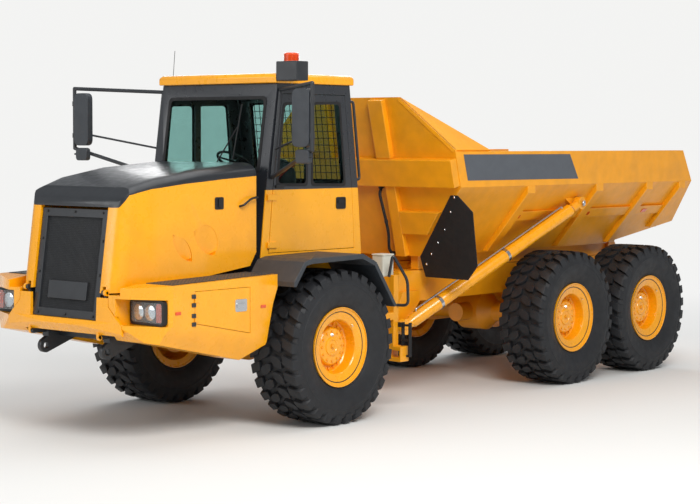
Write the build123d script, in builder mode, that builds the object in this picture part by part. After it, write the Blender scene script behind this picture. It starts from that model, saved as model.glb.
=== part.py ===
from build123d import *
import os

# Articulated dump truck on three axles, in millimetres, as parked: steered straight, bed down.
# The nose points along -Y, the driver's left side is +X, and the tyres stand on Z = 0.
# The origin lies midway between nose and tail.

# Plan of the whole truck, along Y
FRONT_OVERHANG = 2450.0
FRONT_TO_MID = 4181.0
BOGIE_SPREAD = 1670.0
REAR_OVERHANG = 1321.0
LENGTH = FRONT_OVERHANG + FRONT_TO_MID + BOGIE_SPREAD + REAR_OVERHANG
NOSE_Y = -LENGTH / 2
TAIL_Y = LENGTH / 2
FRONT_AXLE_Y = NOSE_Y + FRONT_OVERHANG
MID_AXLE_Y = FRONT_AXLE_Y + FRONT_TO_MID
REAR_AXLE_Y = MID_AXLE_Y + BOGIE_SPREAD
PIVOT_BEHIND_AXLE = 1362.0
PIVOT_Y = FRONT_AXLE_Y + PIVOT_BEHIND_AXLE

# Wheels
TRACK = 2356.0
TYRE_RADIUS = 782.0
TYRE_WIDTH = 600.0
TREAD_WIDTH = 540.0
BEAD_RADIUS = 350.0
RIM_WIDTH = 500.0
RIM_WALL = 18.0
FLANGE_RADIUS = 392.0
FLANGE_WALL = 24.0
DISC_OFFSET = 70.0
DISC_WALL = 40.0
HUB_RADIUS = 190.0
HUB_LENGTH = 110.0
SPINDLE_RADIUS = 75.0
AXLE_Z = TYRE_RADIUS

# Running clearances
SEAT_GAP = 0.3
MOVING_GAP = 6.0

# Front frame and its hitch
FRONT_RAIL_X = 400.0
FRONT_RAIL_WIDTH = 90.0
FRONT_RAIL_BOTTOM = AXLE_Z + 158.0
FRONT_RAIL_TOP = FRONT_RAIL_BOTTOM + 250.0
HITCH_PLATE = 60.0
HITCH_TOP = FRONT_RAIL_TOP
HITCH_BOTTOM = AXLE_Z - 142.0
HITCH_EAR_RADIUS = 170.0
PIVOT_PIN_RADIUS = 70.0

# Towing eyes at the nose, (y, z) of the bore, and the towing jaw at the rear
TOW_EYE = (NOSE_Y + 190.0, AXLE_Z + 70.0)
TOW_EYE_RADIUS = 70.0
TOW_EYE_WIDTH = 50.0
TOW_BORE_RADIUS = 32.0
TOW_JAW_Z = AXLE_Z + 330.0
TOW_JAW_RADIUS = 75.0
TOW_JAW_BORE = 30.0
TOW_JAW_GAP = 80.0
TOW_JAW_PLATE = 35.0

# Yoke between the two frames, and the roll bearing behind it
YOKE_BARREL_RADIUS = 130.0
ROLL_Z = AXLE_Z + 133.0
ROLL_TUBE_RADIUS = 170.0
ROLL_HOUSING_RADIUS = 230.0
ROLL_HOUSING_FRONT = PIVOT_Y + 538.0
ROLL_HOUSING_LENGTH = 400.0
ROLL_FLANGE = 30.0

# Steering cylinders, in plan from the hitch pin
STEER_Z = AXLE_Z + 283.0
STEER_ARM = (225.0, 130.0)
STEER_FOOT = (325.0, -900.0)
STEER_BARREL_RADIUS = 55.0
STEER_ROD_RADIUS = 30.0
STEER_EYE_RADIUS = 50.0
STEER_EYE_WIDTH = 60.0
STEER_PIN_RADIUS = 25.0
STEER_PLATE = 28.0
STEER_BARREL_LENGTH = 660.0
STEER_ROD_LENGTH = 640.0
STEER_PLATE_LEVELS = (STEER_Z - STEER_EYE_WIDTH / 2 - SEAT_GAP - STEER_PLATE, STEER_Z + STEER_EYE_WIDTH / 2 + SEAT_GAP)

# Rear frame
REAR_RAIL_WIDTH = 140.0
REAR_RAIL_X = TRACK / 2 - TYRE_WIDTH / 2 - 398.0
REAR_RAIL_BOTTOM = AXLE_Z + 273.0
REAR_RAIL_TOP = REAR_RAIL_BOTTOM + 345.0
BEAM_WIDTH = 110.0
BEAM_X = TRACK / 2 - TYRE_WIDTH / 2 - BEAM_WIDTH - 78.0

# Bed hinge and bed, from the rear axle
HINGE_Y = REAR_AXLE_Y + 349.0
HINGE_Z = AXLE_Z + 718.0
HINGE_PIN_RADIUS = 45.0
HINGE_EAR_RADIUS = 90.0
HINGE_EAR = 45.0
SILL_X = REAR_RAIL_X + 20.0
SILL_WIDTH = 100.0
BED_WALL = 40.0
BED_HALF_WIDTH = 1400.0
BED_FLOOR_HALF = 740.0
BED_BOTTOM = REAR_RAIL_TOP + 160.0
BED_KNEE_Z = AXLE_Z + 1638.0
BED_RAIL_Z = AXLE_Z + 1958.0
HEADBOARD_TOP = AXLE_Z + 2548.0

# Hoist cylinders: (x, y, z) of the foot and of the eye
HOIST_FOOT = Vector(REAR_RAIL_X + 280.0, PIVOT_Y + 468.0, AXLE_Z + 21.0)
HOIST_EYE = Vector(BED_HALF_WIDTH - 80.0, REAR_AXLE_Y - 1421.0, AXLE_Z + 1338.0)
HOIST_BALL_RADIUS = 55.0
HOIST_FOOT_RADIUS = 90.0
HOIST_EYE_RADIUS = 75.0
HOIST_EYE_WIDTH = 76.0
HOIST_EYE_CAP = 60.0
HOIST_BARREL_RADIUS = 95.0
HOIST_ROD_RADIUS = 42.0
HOIST_MOUTH_GAP = 268.0
HOIST_ROD_INSIDE = 2477.0

# Cab, from the front axle
CAB_HALF_WIDTH = 830.0
CAB_WALL = 40.0
CAB_FLOOR_Z = AXLE_Z + 698.0
CAB_TOP_Z = AXLE_Z + 2648.0
ROOF_HEIGHT = 100.0
GLASS = 8.0

# Hood, fenders and nose
HOOD_HALF_WIDTH = 800.0
HOOD_WALL = 30.0
FENDER_HALF_WIDTH = 1250.0
FENDER_INNER = 820.0
FENDER_WALL = 30.0
DECK_Z = AXLE_Z + 767.0
GRILLE_HALF_WIDTH = 477.0
NOSE_BOTTOM = AXLE_Z + 248.0
BUMPER_DEPTH = 75.0
HINGE_ROD = 14.0
NOSE_HINGE = (NOSE_Y + BUMPER_DEPTH - 10, NOSE_BOTTOM - 30)
NOSE_LUG_X = 480.0
HOOD_HINGE = (NOSE_Y + BUMPER_DEPTH + 5, AXLE_Z + 645)
HOOD_LUG_X = 565.0

SIDES = {"left": 1, "right": -1}


def from_front(points):
    """Side-view points (y, z) measured from the centre of the front axle."""
    return [(FRONT_AXLE_Y + y, AXLE_Z + z) for y, z in points]


def side_plate(points, x, width, mode=Mode.ADD):
    """A side-view outline at station x, thickened by width towards +X."""
    with BuildSketch(Plane.YZ.offset(x)) as outline:
        with BuildLine():
            Polyline(*points, close=True)
        make_face()
    extrude(outline.sketch, amount=width, mode=mode)


def block(x, y, z, mode=Mode.ADD):
    """A rectangular block between the given pairs of limits."""
    middle = ((x[0] + x[1]) / 2, (y[0] + y[1]) / 2, (z[0] + z[1]) / 2)
    with Locations(middle):
        Box(x[1] - x[0], y[1] - y[0], z[1] - z[0], mode=mode)


def bar(start, end, radius, mode=Mode.ADD):
    """A round bar from one point to another."""
    start, end = Vector(*start), Vector(*end)
    with BuildSketch(Plane(origin=start, z_dir=end - start)) as section:
        Circle(radius)
    extrude(section.sketch, amount=(end - start).length, mode=mode)


def wheel_plane(side, y):
    """Plane through the spin axis: local x points outboard, local y points up."""
    return Plane(origin=(side * TRACK / 2, y, AXLE_Z), x_dir=(side, 0, 0), z_dir=(0, -side, 0))


def turned(plane, points, mode=Mode.ADD):
    """A closed half section turned about the plane's local x axis."""
    with BuildSketch(plane) as section:
        with BuildLine():
            Polyline(*points, close=True)
        make_face()
    revolve(section.sketch, axis=Axis(plane.origin, plane.x_dir), mode=mode)


def save(piece, label):
    piece.part.label = label
    export_step(piece.part, f"parts/{label}.step")


os.makedirs("parts", exist_ok=True)


# Wheels: a tyre seated on a dished rim, whose hub runs on the axle's spindle
AXLES = {"front": FRONT_AXLE_Y, "mid": MID_AXLE_Y, "rear": REAR_AXLE_Y}
half_tyre = TYRE_WIDTH / 2
half_tread = TREAD_WIDTH / 2
half_rim = RIM_WIDTH / 2
sidewall_radius = (BEAD_RADIUS + TYRE_RADIUS) / 2
shoulder_radius = TYRE_RADIUS - 100.0
bead_half = half_rim - FLANGE_WALL - SEAT_GAP
TYRE_SECTION = [
    (-bead_half, BEAD_RADIUS),
    (-bead_half, FLANGE_RADIUS + MOVING_GAP),
    (-half_tyre, sidewall_radius),
    (-half_tyre, shoulder_radius),
    (-half_tread, TYRE_RADIUS),
    (half_tread, TYRE_RADIUS),
    (half_tyre, shoulder_radius),
    (half_tyre, sidewall_radius),
    (bead_half, FLANGE_RADIUS + MOVING_GAP),
    (bead_half, BEAD_RADIUS),
]
barrel_outer = BEAD_RADIUS - SEAT_GAP
barrel_inner = barrel_outer - RIM_WALL
flange_inner = half_rim - FLANGE_WALL
hub_outer = DISC_OFFSET + DISC_WALL + HUB_LENGTH
RIM_SECTION = [
    (-half_rim, barrel_inner),
    (-half_rim, FLANGE_RADIUS),
    (-flange_inner, FLANGE_RADIUS),
    (-flange_inner, barrel_outer),
    (flange_inner, barrel_outer),
    (flange_inner, FLANGE_RADIUS),
    (half_rim, FLANGE_RADIUS),
    (half_rim, barrel_inner),
    (DISC_OFFSET + DISC_WALL, barrel_inner),
    (DISC_OFFSET + DISC_WALL, HUB_RADIUS),
    (hub_outer, HUB_RADIUS - 25.0),
    (hub_outer, 0),
    (DISC_OFFSET + DISC_WALL, 0),
    (DISC_OFFSET + DISC_WALL, SPINDLE_RADIUS + SEAT_GAP),
    (DISC_OFFSET, SPINDLE_RADIUS + SEAT_GAP),
    (DISC_OFFSET, barrel_inner),
]
for side_name, side in SIDES.items():
    for axle_name, axle_y in AXLES.items():
        plane = wheel_plane(side, axle_y)
        with BuildPart() as tyre:
            turned(plane, TYRE_SECTION)
        save(tyre, f"{axle_name}_{side_name}_tyre")
        with BuildPart() as rim:
            turned(plane, RIM_SECTION)
        save(rim, f"{axle_name}_{side_name}_rim")


# Axles, turned about their own line: tube, differential, brake drums and spindles
AXLE_TUBE_RADIUS = 120.0
DIFFERENTIAL_RADIUS = 230.0
DIFFERENTIAL_HALF = 160.0
DRUM_RADIUS = 235.0
DRIVE_HEAD_RADIUS = 110.0
DRIVE_HEAD_REACH = 430.0
spindle_end = TRACK / 2 + DISC_OFFSET + DISC_WALL - MOVING_GAP
drum_end = TRACK / 2 + DISC_OFFSET - MOVING_GAP
drum_start = TRACK / 2 - half_rim + 20.0
cone_end = DIFFERENTIAL_HALF + 140.0
HALF_AXLE = [
    (DIFFERENTIAL_HALF, DIFFERENTIAL_RADIUS),
    (cone_end, AXLE_TUBE_RADIUS),
    (drum_start, AXLE_TUBE_RADIUS),
    (drum_start, DRUM_RADIUS),
    (drum_end, DRUM_RADIUS),
    (drum_end, SPINDLE_RADIUS),
    (spindle_end, SPINDLE_RADIUS),
    (spindle_end, 0),
]
for axle_name, axle_y in AXLES.items():
    axle_plane = Plane(origin=(0, axle_y, AXLE_Z), x_dir=(1, 0, 0), z_dir=(0, -1, 0))
    with BuildPart() as axle:
        turned(axle_plane, [(-x, radius) for x, radius in reversed(HALF_AXLE)] + HALF_AXLE)
        bar((0, axle_y - DRIVE_HEAD_REACH, AXLE_Z), (0, axle_y, AXLE_Z), DRIVE_HEAD_RADIUS)
        for side in SIDES.values():
            if axle_name == "front":
                pad = sorted([side * FRONT_RAIL_X, side * (FRONT_RAIL_X + FRONT_RAIL_WIDTH)])
                block(pad, (axle_y - 90, axle_y + 90), (AXLE_Z, FRONT_RAIL_BOTTOM))
    save(axle, f"{axle_name}_axle")


# Front frame: two rails with cross members, the hitch, brackets, cab posts and towing eyes.
# Its pieces are welded on; each keeps a weld gap, so that it stays a plain solid of its own.
WELD_GAP = 0.3
FRONT_RAIL_Y = [y for y, _ in from_front([(-2250, 0), (1050, 0)])]
CROSS_MEMBERS = from_front([(-2050, 0), (-1500, 0), (-600, 0)])
OUTRIGGERS = from_front([(-1900, 0), (-950, 0)])
CAB_POSTS = from_front([(-380, 0), (900, 0)])
HITCH_DEPTH = 300.0
HITCH_WEB = 110.0
HINGE_TAB = 30.0
hitch_root = PIVOT_Y - 380.0
hitch_front = hitch_root - HITCH_DEPTH
rail_nose = FRONT_RAIL_Y[0]
rail_outer = FRONT_RAIL_X + FRONT_RAIL_WIDTH
between_rails = FRONT_RAIL_X - WELD_GAP


def mirrored(low, high, side):
    """The X limits low and high on the given side of the centre plane."""
    return sorted([side * low, side * high])


with BuildPart() as front_chassis:
    for side in SIDES.values():
        block(mirrored(FRONT_RAIL_X, rail_outer, side), FRONT_RAIL_Y, (FRONT_RAIL_BOTTOM, FRONT_RAIL_TOP))
    for member_y, _ in CROSS_MEMBERS:
        block((-between_rails, between_rails), (member_y - 60, member_y + 60),
              (FRONT_RAIL_BOTTOM, FRONT_RAIL_BOTTOM + 60))
    # Hitch: two ears with the pin between them, a web and the cheeks under the rails
    for level, half_width in ((HITCH_BOTTOM, rail_outer), (HITCH_TOP - HITCH_PLATE, between_rails)):
        with BuildSketch(Plane.XY.offset(level)) as ear:
            with Locations((0, PIVOT_Y)):
                Circle(HITCH_EAR_RADIUS)
            with Locations((0, hitch_root - HITCH_DEPTH / 2)):
                Rectangle(2 * half_width, HITCH_DEPTH)
            make_hull()
        extrude(ear.sketch, amount=HITCH_PLATE)
    between_ears = (HITCH_BOTTOM + HITCH_PLATE + WELD_GAP, HITCH_TOP - HITCH_PLATE - WELD_GAP)
    for side in SIDES.values():
        block(mirrored(between_rails, rail_outer, side), (hitch_front, hitch_root),
              (between_ears[0], FRONT_RAIL_BOTTOM - WELD_GAP))
    block((-HITCH_WEB, HITCH_WEB), (hitch_front, hitch_root + HITCH_DEPTH / 2), between_ears)
    bar((0, PIVOT_Y, between_ears[0]), (0, PIVOT_Y, between_ears[1]), PIVOT_PIN_RADIUS)
    # Foot brackets of the steering cylinders on the rails' inner faces
    for side in SIDES.values():
        foot = (side * STEER_FOOT[0], PIVOT_Y + STEER_FOOT[1])
        for level in STEER_PLATE_LEVELS:
            with BuildSketch(Plane.XY.offset(level)) as bracket:
                with Locations(foot):
                    Circle(STEER_EYE_RADIUS)
                with Locations((side * (between_rails - 5), foot[1])):
                    Rectangle(10, 2 * STEER_EYE_RADIUS)
                make_hull()
            extrude(bracket.sketch, amount=STEER_PLATE)
        with Locations((*foot, STEER_Z)):
            Cylinder(STEER_PIN_RADIUS, STEER_EYE_WIDTH + 2 * SEAT_GAP + 2 * STEER_PLATE)
    # Outriggers that carry the fenders, and posts that carry the cab
    for side in SIDES.values():
        for y, _ in OUTRIGGERS:
            block(mirrored(rail_outer + WELD_GAP, FENDER_INNER, side), (y - 40, y + 40),
                  (FRONT_RAIL_TOP - 120, FRONT_RAIL_TOP - 20))
        for y, _ in CAB_POSTS:
            block(mirrored(FRONT_RAIL_X, rail_outer, side), (y - 60, y + 60),
                  (FRONT_RAIL_TOP + WELD_GAP, CAB_FLOOR_Z))
    # Hinge tabs of the nose and hinge posts of the hood at the front ends of the rails
    for side in SIDES.values():
        tab = mirrored(NOSE_LUG_X - SEAT_GAP - HINGE_TAB, NOSE_LUG_X - SEAT_GAP, side)
        block(tab, (NOSE_HINGE[0] - 5, rail_nose - WELD_GAP), (NOSE_HINGE[1] - 20, NOSE_HINGE[1] + 25))
        bar((tab[0], *NOSE_HINGE), (tab[1], *NOSE_HINGE), 22)
        pin = mirrored(NOSE_LUG_X - HINGE_TAB, NOSE_LUG_X + HINGE_TAB, side)
        bar((pin[0], *NOSE_HINGE), (pin[1], *NOSE_HINGE), HINGE_ROD)
        post = mirrored(HOOD_LUG_X - SEAT_GAP - HINGE_TAB, HOOD_LUG_X - SEAT_GAP, side)
        post_y = (HOOD_HINGE[0] + 10, HOOD_HINGE[0] + 70)
        block(post, post_y, (FRONT_RAIL_TOP - 60, HOOD_HINGE[1]))
        bar((post[0], *HOOD_HINGE), (post[1], *HOOD_HINGE), 25)
        foot = mirrored(rail_outer + WELD_GAP, HOOD_LUG_X - SEAT_GAP, side)
        block(foot, (post_y[0], rail_nose + 80), (FRONT_RAIL_TOP - 60, FRONT_RAIL_TOP))
        pin = mirrored(HOOD_LUG_X - HINGE_TAB, HOOD_LUG_X + HINGE_TAB, side)
        bar((pin[0], *HOOD_HINGE), (pin[1], *HOOD_HINGE), HINGE_ROD)
    # Towing eyes under the front ends of the rails, each with a bore across the truck
    for side in SIDES.values():
        eye_x = mirrored(FRONT_RAIL_X + 20, FRONT_RAIL_X + 20 + TOW_EYE_WIDTH, side)
        with BuildSketch(Plane.YZ.offset(eye_x[0])) as eye_shape:
            with Locations(TOW_EYE):
                Circle(TOW_EYE_RADIUS)
            with Locations((rail_nose + 200, FRONT_RAIL_BOTTOM - WELD_GAP - 10)):
                Rectangle(400, 20)
            make_hull()
            with Locations(TOW_EYE):
                Circle(TOW_BORE_RADIUS, mode=Mode.SUBTRACT)
        extrude(eye_shape.sketch, amount=TOW_EYE_WIDTH)
save(front_chassis, "front_chassis")

engine_y = [y for y, _ in from_front([(-1700, 0), (-560, 0)])]
with BuildPart() as engine:
    block((-300, 300), engine_y, (FRONT_RAIL_BOTTOM + 60, AXLE_Z + 1100))
save(engine, "engine")

radiator_y = [y for y, _ in from_front([(-2110, 0), (-1960, 0)])]
with BuildPart() as radiator:
    block((-440, 440), radiator_y, (FRONT_RAIL_TOP, AXLE_Z + 1330))
    block((-380, 380), radiator_y, (FRONT_RAIL_BOTTOM + 60, FRONT_RAIL_TOP))
save(radiator, "radiator")


# Yoke: turns on the hitch pin and carries the roll tube and the steering arms
yoke_bottom = HITCH_BOTTOM + HITCH_PLATE + SEAT_GAP
yoke_top = HITCH_TOP - HITCH_PLATE - SEAT_GAP
roll_end = ROLL_HOUSING_FRONT + ROLL_HOUSING_LENGTH + SEAT_GAP
with BuildPart() as articulation_yoke:
    with Locations((0, PIVOT_Y, (yoke_bottom + yoke_top) / 2)):
        Cylinder(YOKE_BARREL_RADIUS, yoke_top - yoke_bottom)
    bar((0, PIVOT_Y, ROLL_Z), (0, roll_end + ROLL_FLANGE, ROLL_Z), ROLL_TUBE_RADIUS)
    bar((0, roll_end, ROLL_Z), (0, roll_end + ROLL_FLANGE, ROLL_Z), ROLL_TUBE_RADIUS + 35)
    for level in STEER_PLATE_LEVELS:
        with BuildSketch(Plane.XY.offset(level)) as arm:
            with Locations((0, PIVOT_Y)):
                Circle(YOKE_BARREL_RADIUS)
            for side in SIDES.values():
                with Locations((side * STEER_ARM[0], PIVOT_Y + STEER_ARM[1])):
                    Circle(STEER_EYE_RADIUS)
            make_hull()
        extrude(arm.sketch, amount=STEER_PLATE)
    with Locations((0, PIVOT_Y, ROLL_Z)):
        Cylinder(PIVOT_PIN_RADIUS + SEAT_GAP, 1000, mode=Mode.SUBTRACT)
save(articulation_yoke, "articulation_yoke")


# Steering cylinders: the barrel turns on its foot pin, the rod slides in the barrel
for side_name, side in SIDES.items():
    foot = Vector(side * STEER_FOOT[0], PIVOT_Y + STEER_FOOT[1], STEER_Z)
    eye = Vector(side * STEER_ARM[0], PIVOT_Y + STEER_ARM[1], STEER_Z)
    along = (eye - foot).normalized()
    with BuildPart() as steering_barrel:
        with Locations(foot):
            Cylinder(STEER_EYE_RADIUS, STEER_EYE_WIDTH)
        bar(foot, foot + along * STEER_BARREL_LENGTH, STEER_BARREL_RADIUS)
        bar(foot + along * 130, foot + along * (STEER_BARREL_LENGTH + 1),
            STEER_ROD_RADIUS + SEAT_GAP, mode=Mode.SUBTRACT)
        for cap in (-1, 1):
            middle = foot + Vector(0, 0, cap * (STEER_EYE_WIDTH / 2 + 25))
            with Locations(middle):
                Cylinder(STEER_EYE_RADIUS + 20, 50, mode=Mode.SUBTRACT)
        with Locations(foot):
            Cylinder(STEER_PIN_RADIUS + SEAT_GAP, 200, mode=Mode.SUBTRACT)
    save(steering_barrel, f"steering_barrel_{side_name}")
    with BuildPart() as steering_rod:
        with Locations(eye):
            Cylinder(STEER_EYE_RADIUS, STEER_EYE_WIDTH)
        bar(eye - along * STEER_ROD_LENGTH, eye, STEER_ROD_RADIUS - 0.01)
    save(steering_rod, f"steering_rod_{side_name}")


# Rear frame: rails, roll housing, cross members, beam pivots, bed hinge ears and hoist feet
CROSS_MEMBER_HALF = 80.0
BEAM_PIVOT_RADIUS = 55.0
BEAM_PIVOT_Z = AXLE_Z + 20.0
HOIST_LUG = 50.0
HOIST_STALK_RADIUS = 33.0
rail_front = ROLL_HOUSING_FRONT
rail_rear = HINGE_Y + HINGE_EAR_RADIUS
rear_rail_outer = REAR_RAIL_X + REAR_RAIL_WIDTH
between_rear_rails = REAR_RAIL_X - WELD_GAP
beam_pivot_y = (MID_AXLE_Y + REAR_AXLE_Y) / 2
jaw_y = rail_rear + TOW_JAW_RADIUS - 5
with BuildPart() as rear_chassis:
    # Housing of the roll bearing: a bored barrel through two plates
    for y in (rail_front, rail_front + ROLL_HOUSING_LENGTH - 60):
        block((-between_rear_rails, between_rear_rails), (y, y + 60), (ROLL_Z - 240, REAR_RAIL_TOP))
    bar((0, rail_front, ROLL_Z), (0, rail_front + ROLL_HOUSING_LENGTH, ROLL_Z), ROLL_HOUSING_RADIUS)
    bar((0, rail_front - 1, ROLL_Z), (0, rail_front + ROLL_HOUSING_LENGTH + 1, ROLL_Z),
        ROLL_TUBE_RADIUS + SEAT_GAP, mode=Mode.SUBTRACT)
    for y in (MID_AXLE_Y - 700, beam_pivot_y, REAR_AXLE_Y + 250):
        block((-between_rear_rails, between_rear_rails), (y - CROSS_MEMBER_HALF, y + CROSS_MEMBER_HALF),
              (REAR_RAIL_BOTTOM + 30, REAR_RAIL_TOP - 40))
    # Rearmost cross member with the towing jaw
    block((-between_rear_rails, between_rear_rails), (rail_rear - CROSS_MEMBER_HALF, rail_rear),
          (REAR_RAIL_BOTTOM, REAR_RAIL_TOP - 40))
    for level in (TOW_JAW_Z - TOW_JAW_GAP / 2 - TOW_JAW_PLATE, TOW_JAW_Z + TOW_JAW_GAP / 2):
        with BuildSketch(Plane.XY.offset(level)) as jaw:
            with Locations((0, jaw_y)):
                Circle(TOW_JAW_RADIUS)
            with Locations((0, rail_rear - 20)):
                Rectangle(260, 40)
            make_hull()
            with Locations((0, jaw_y)):
                Circle(TOW_JAW_BORE, mode=Mode.SUBTRACT)
        extrude(jaw.sketch, amount=TOW_JAW_PLATE)
    for side in SIDES.values():
        block(mirrored(REAR_RAIL_X, rear_rail_outer, side), (rail_front, rail_rear), (REAR_RAIL_BOTTOM, REAR_RAIL_TOP))
        # Beam pivot hangs under the rail
        block(mirrored(rear_rail_outer - 60, rear_rail_outer, side), (beam_pivot_y - 130, beam_pivot_y + 130),
              (AXLE_Z - 60, REAR_RAIL_BOTTOM - WELD_GAP))
        bar((side * (rear_rail_outer - 30), beam_pivot_y, BEAM_PIVOT_Z),
            (side * (BEAM_X + BEAM_WIDTH), beam_pivot_y, BEAM_PIVOT_Z), BEAM_PIVOT_RADIUS)
        # Clevis ears and pin of the bed hinge
        for x in (SILL_X - SEAT_GAP - HINGE_EAR, SILL_X + SILL_WIDTH + SEAT_GAP):
            with BuildSketch(Plane.YZ.offset(side * (x + HINGE_EAR / 2))) as ear:
                with Locations((HINGE_Y, HINGE_Z)):
                    Circle(HINGE_EAR_RADIUS)
                with Locations((HINGE_Y, REAR_RAIL_TOP + WELD_GAP + 10)):
                    Rectangle(2 * HINGE_EAR_RADIUS, 20)
                make_hull()
            extrude(ear.sketch, amount=HINGE_EAR / 2, both=True)
        bar((side * (SILL_X - HINGE_EAR), HINGE_Y, HINGE_Z),
            (side * (SILL_X + SILL_WIDTH + HINGE_EAR), HINGE_Y, HINGE_Z), HINGE_PIN_RADIUS)
        # Hoist foot: a lug on the rail's outer face and a ball on a stalk
        lug_inner = rear_rail_outer + WELD_GAP
        with BuildSketch(Plane.YZ.offset(side * (lug_inner + HOIST_LUG / 2))) as lug:
            with Locations((HOIST_FOOT.Y, HOIST_FOOT.Z)):
                Circle(HOIST_FOOT_RADIUS)
            with Locations((rail_front + 160, REAR_RAIL_BOTTOM + 60)):
                Rectangle(300, 120)
            make_hull()
        extrude(lug.sketch, amount=HOIST_LUG / 2, both=True)
        ball = (side * HOIST_FOOT.X, HOIST_FOOT.Y, HOIST_FOOT.Z)
        bar((side * lug_inner, HOIST_FOOT.Y, HOIST_FOOT.Z), ball, HOIST_STALK_RADIUS)
        with Locations(ball):
            Sphere(HOIST_BALL_RADIUS, rotation=(0, 90, 0))
save(rear_chassis, "rear_chassis")

with BuildPart() as walking_beams:
    for side in SIDES.values():
        low = side * BEAM_X if side > 0 else side * (BEAM_X + BEAM_WIDTH)
        with BuildSketch(Plane.YZ.offset(low)) as beam:
            with Locations((MID_AXLE_Y, AXLE_Z), (REAR_AXLE_Y, AXLE_Z)):
                Circle(170)
            with Locations((beam_pivot_y, BEAM_PIVOT_Z)):
                Circle(190)
            make_hull()
            with Locations((beam_pivot_y, BEAM_PIVOT_Z)):
                Circle(BEAM_PIVOT_RADIUS + SEAT_GAP, mode=Mode.SUBTRACT)
            with Locations((MID_AXLE_Y, AXLE_Z), (REAR_AXLE_Y, AXLE_Z)):
                Circle(AXLE_TUBE_RADIUS + SEAT_GAP, mode=Mode.SUBTRACT)
        extrude(beam.sketch, amount=BEAM_WIDTH)
save(walking_beams, "walking_beams")


# Hoist cylinders: the barrel turns on its ball, the rod slides in the barrel
for side_name, side in SIDES.items():
    foot = Vector(side * HOIST_FOOT.X, HOIST_FOOT.Y, HOIST_FOOT.Z)
    eye = Vector(side * HOIST_EYE.X, HOIST_EYE.Y, HOIST_EYE.Z)
    along = (eye - foot).normalized()
    barrel_length = (eye - foot).length - HOIST_MOUTH_GAP
    with BuildPart() as hoist_barrel:
        bar(foot - Vector(35, 0, 0), foot + Vector(35, 0, 0), HOIST_FOOT_RADIUS)
        bar(foot + along * 70, foot + along * 140, 55)
        bar(foot + along * 130, foot + along * barrel_length, HOIST_BARREL_RADIUS)
        bar(foot + along * 200, foot + along * (barrel_length + 1),
            HOIST_ROD_RADIUS + SEAT_GAP, mode=Mode.SUBTRACT)
        with Locations(foot):
            Sphere(HOIST_BALL_RADIUS + SEAT_GAP, rotation=(0, 90, 0), mode=Mode.SUBTRACT)
    save(hoist_barrel, f"hoist_barrel_{side_name}")
    half_eye = Vector(HOIST_EYE_WIDTH / 2, 0, 0)
    with BuildPart() as hoist_rod:
        with Locations(eye):
            Sphere(HOIST_EYE_CAP, rotation=(0, 90, 0))
        bar(eye - half_eye, eye + half_eye, HOIST_EYE_RADIUS)
        bar(eye - along * (HOIST_MOUTH_GAP + HOIST_ROD_INSIDE), eye, HOIST_ROD_RADIUS - 0.01)
    save(hoist_rod, f"hoist_rod_{side_name}")


# Bed: a tub with a flat floor that rises to the tail lip, and a leaning headboard
headboard_foot = PIVOT_Y + 838
headboard_lean = 450.0 / (HEADBOARD_TOP - BED_BOTTOM)
rail_front_y = headboard_foot - headboard_lean * (BED_RAIL_Z - BED_BOTTOM)
BED_SIDE = [
    (headboard_foot, BED_BOTTOM),
    (REAR_AXLE_Y + 29, BED_BOTTOM),
    (TAIL_Y, BED_BOTTOM + 250),
    (REAR_AXLE_Y + 999, AXLE_Z + 1629),
    (REAR_AXLE_Y + 816, BED_RAIL_Z),
    (rail_front_y, BED_RAIL_Z),
]


def bed_section(inset, bottom):
    """Half of the tub's cross section, mirrored: floor, sloped side, upright band."""
    return [
        (BED_FLOOR_HALF - inset * 0.7, bottom),
        (BED_HALF_WIDTH - inset, BED_KNEE_Z - 70 + inset * 0.5),
        (BED_HALF_WIDTH - inset, BED_RAIL_Z + 400),
        (0, BED_RAIL_Z + 400),
        (0, bottom),
    ]


def tub(inset, side_points, bottom):
    """The tub as a solid: its cross section along Y, trimmed to its side view."""
    with BuildPart() as solid:
        with BuildSketch(Plane.XZ.offset(-TAIL_Y)):
            with BuildLine():
                Polyline(*bed_section(inset, bottom), close=True)
            make_face()
            mirror(about=Plane.YZ)
        extrude(amount=LENGTH)
        with BuildSketch(Plane.YZ) as trim:
            with BuildLine():
                Polyline(*side_points, close=True)
            make_face()
        extrude(trim.sketch, amount=BED_HALF_WIDTH + 10, both=True, mode=Mode.INTERSECT)
    return solid.part


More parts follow.
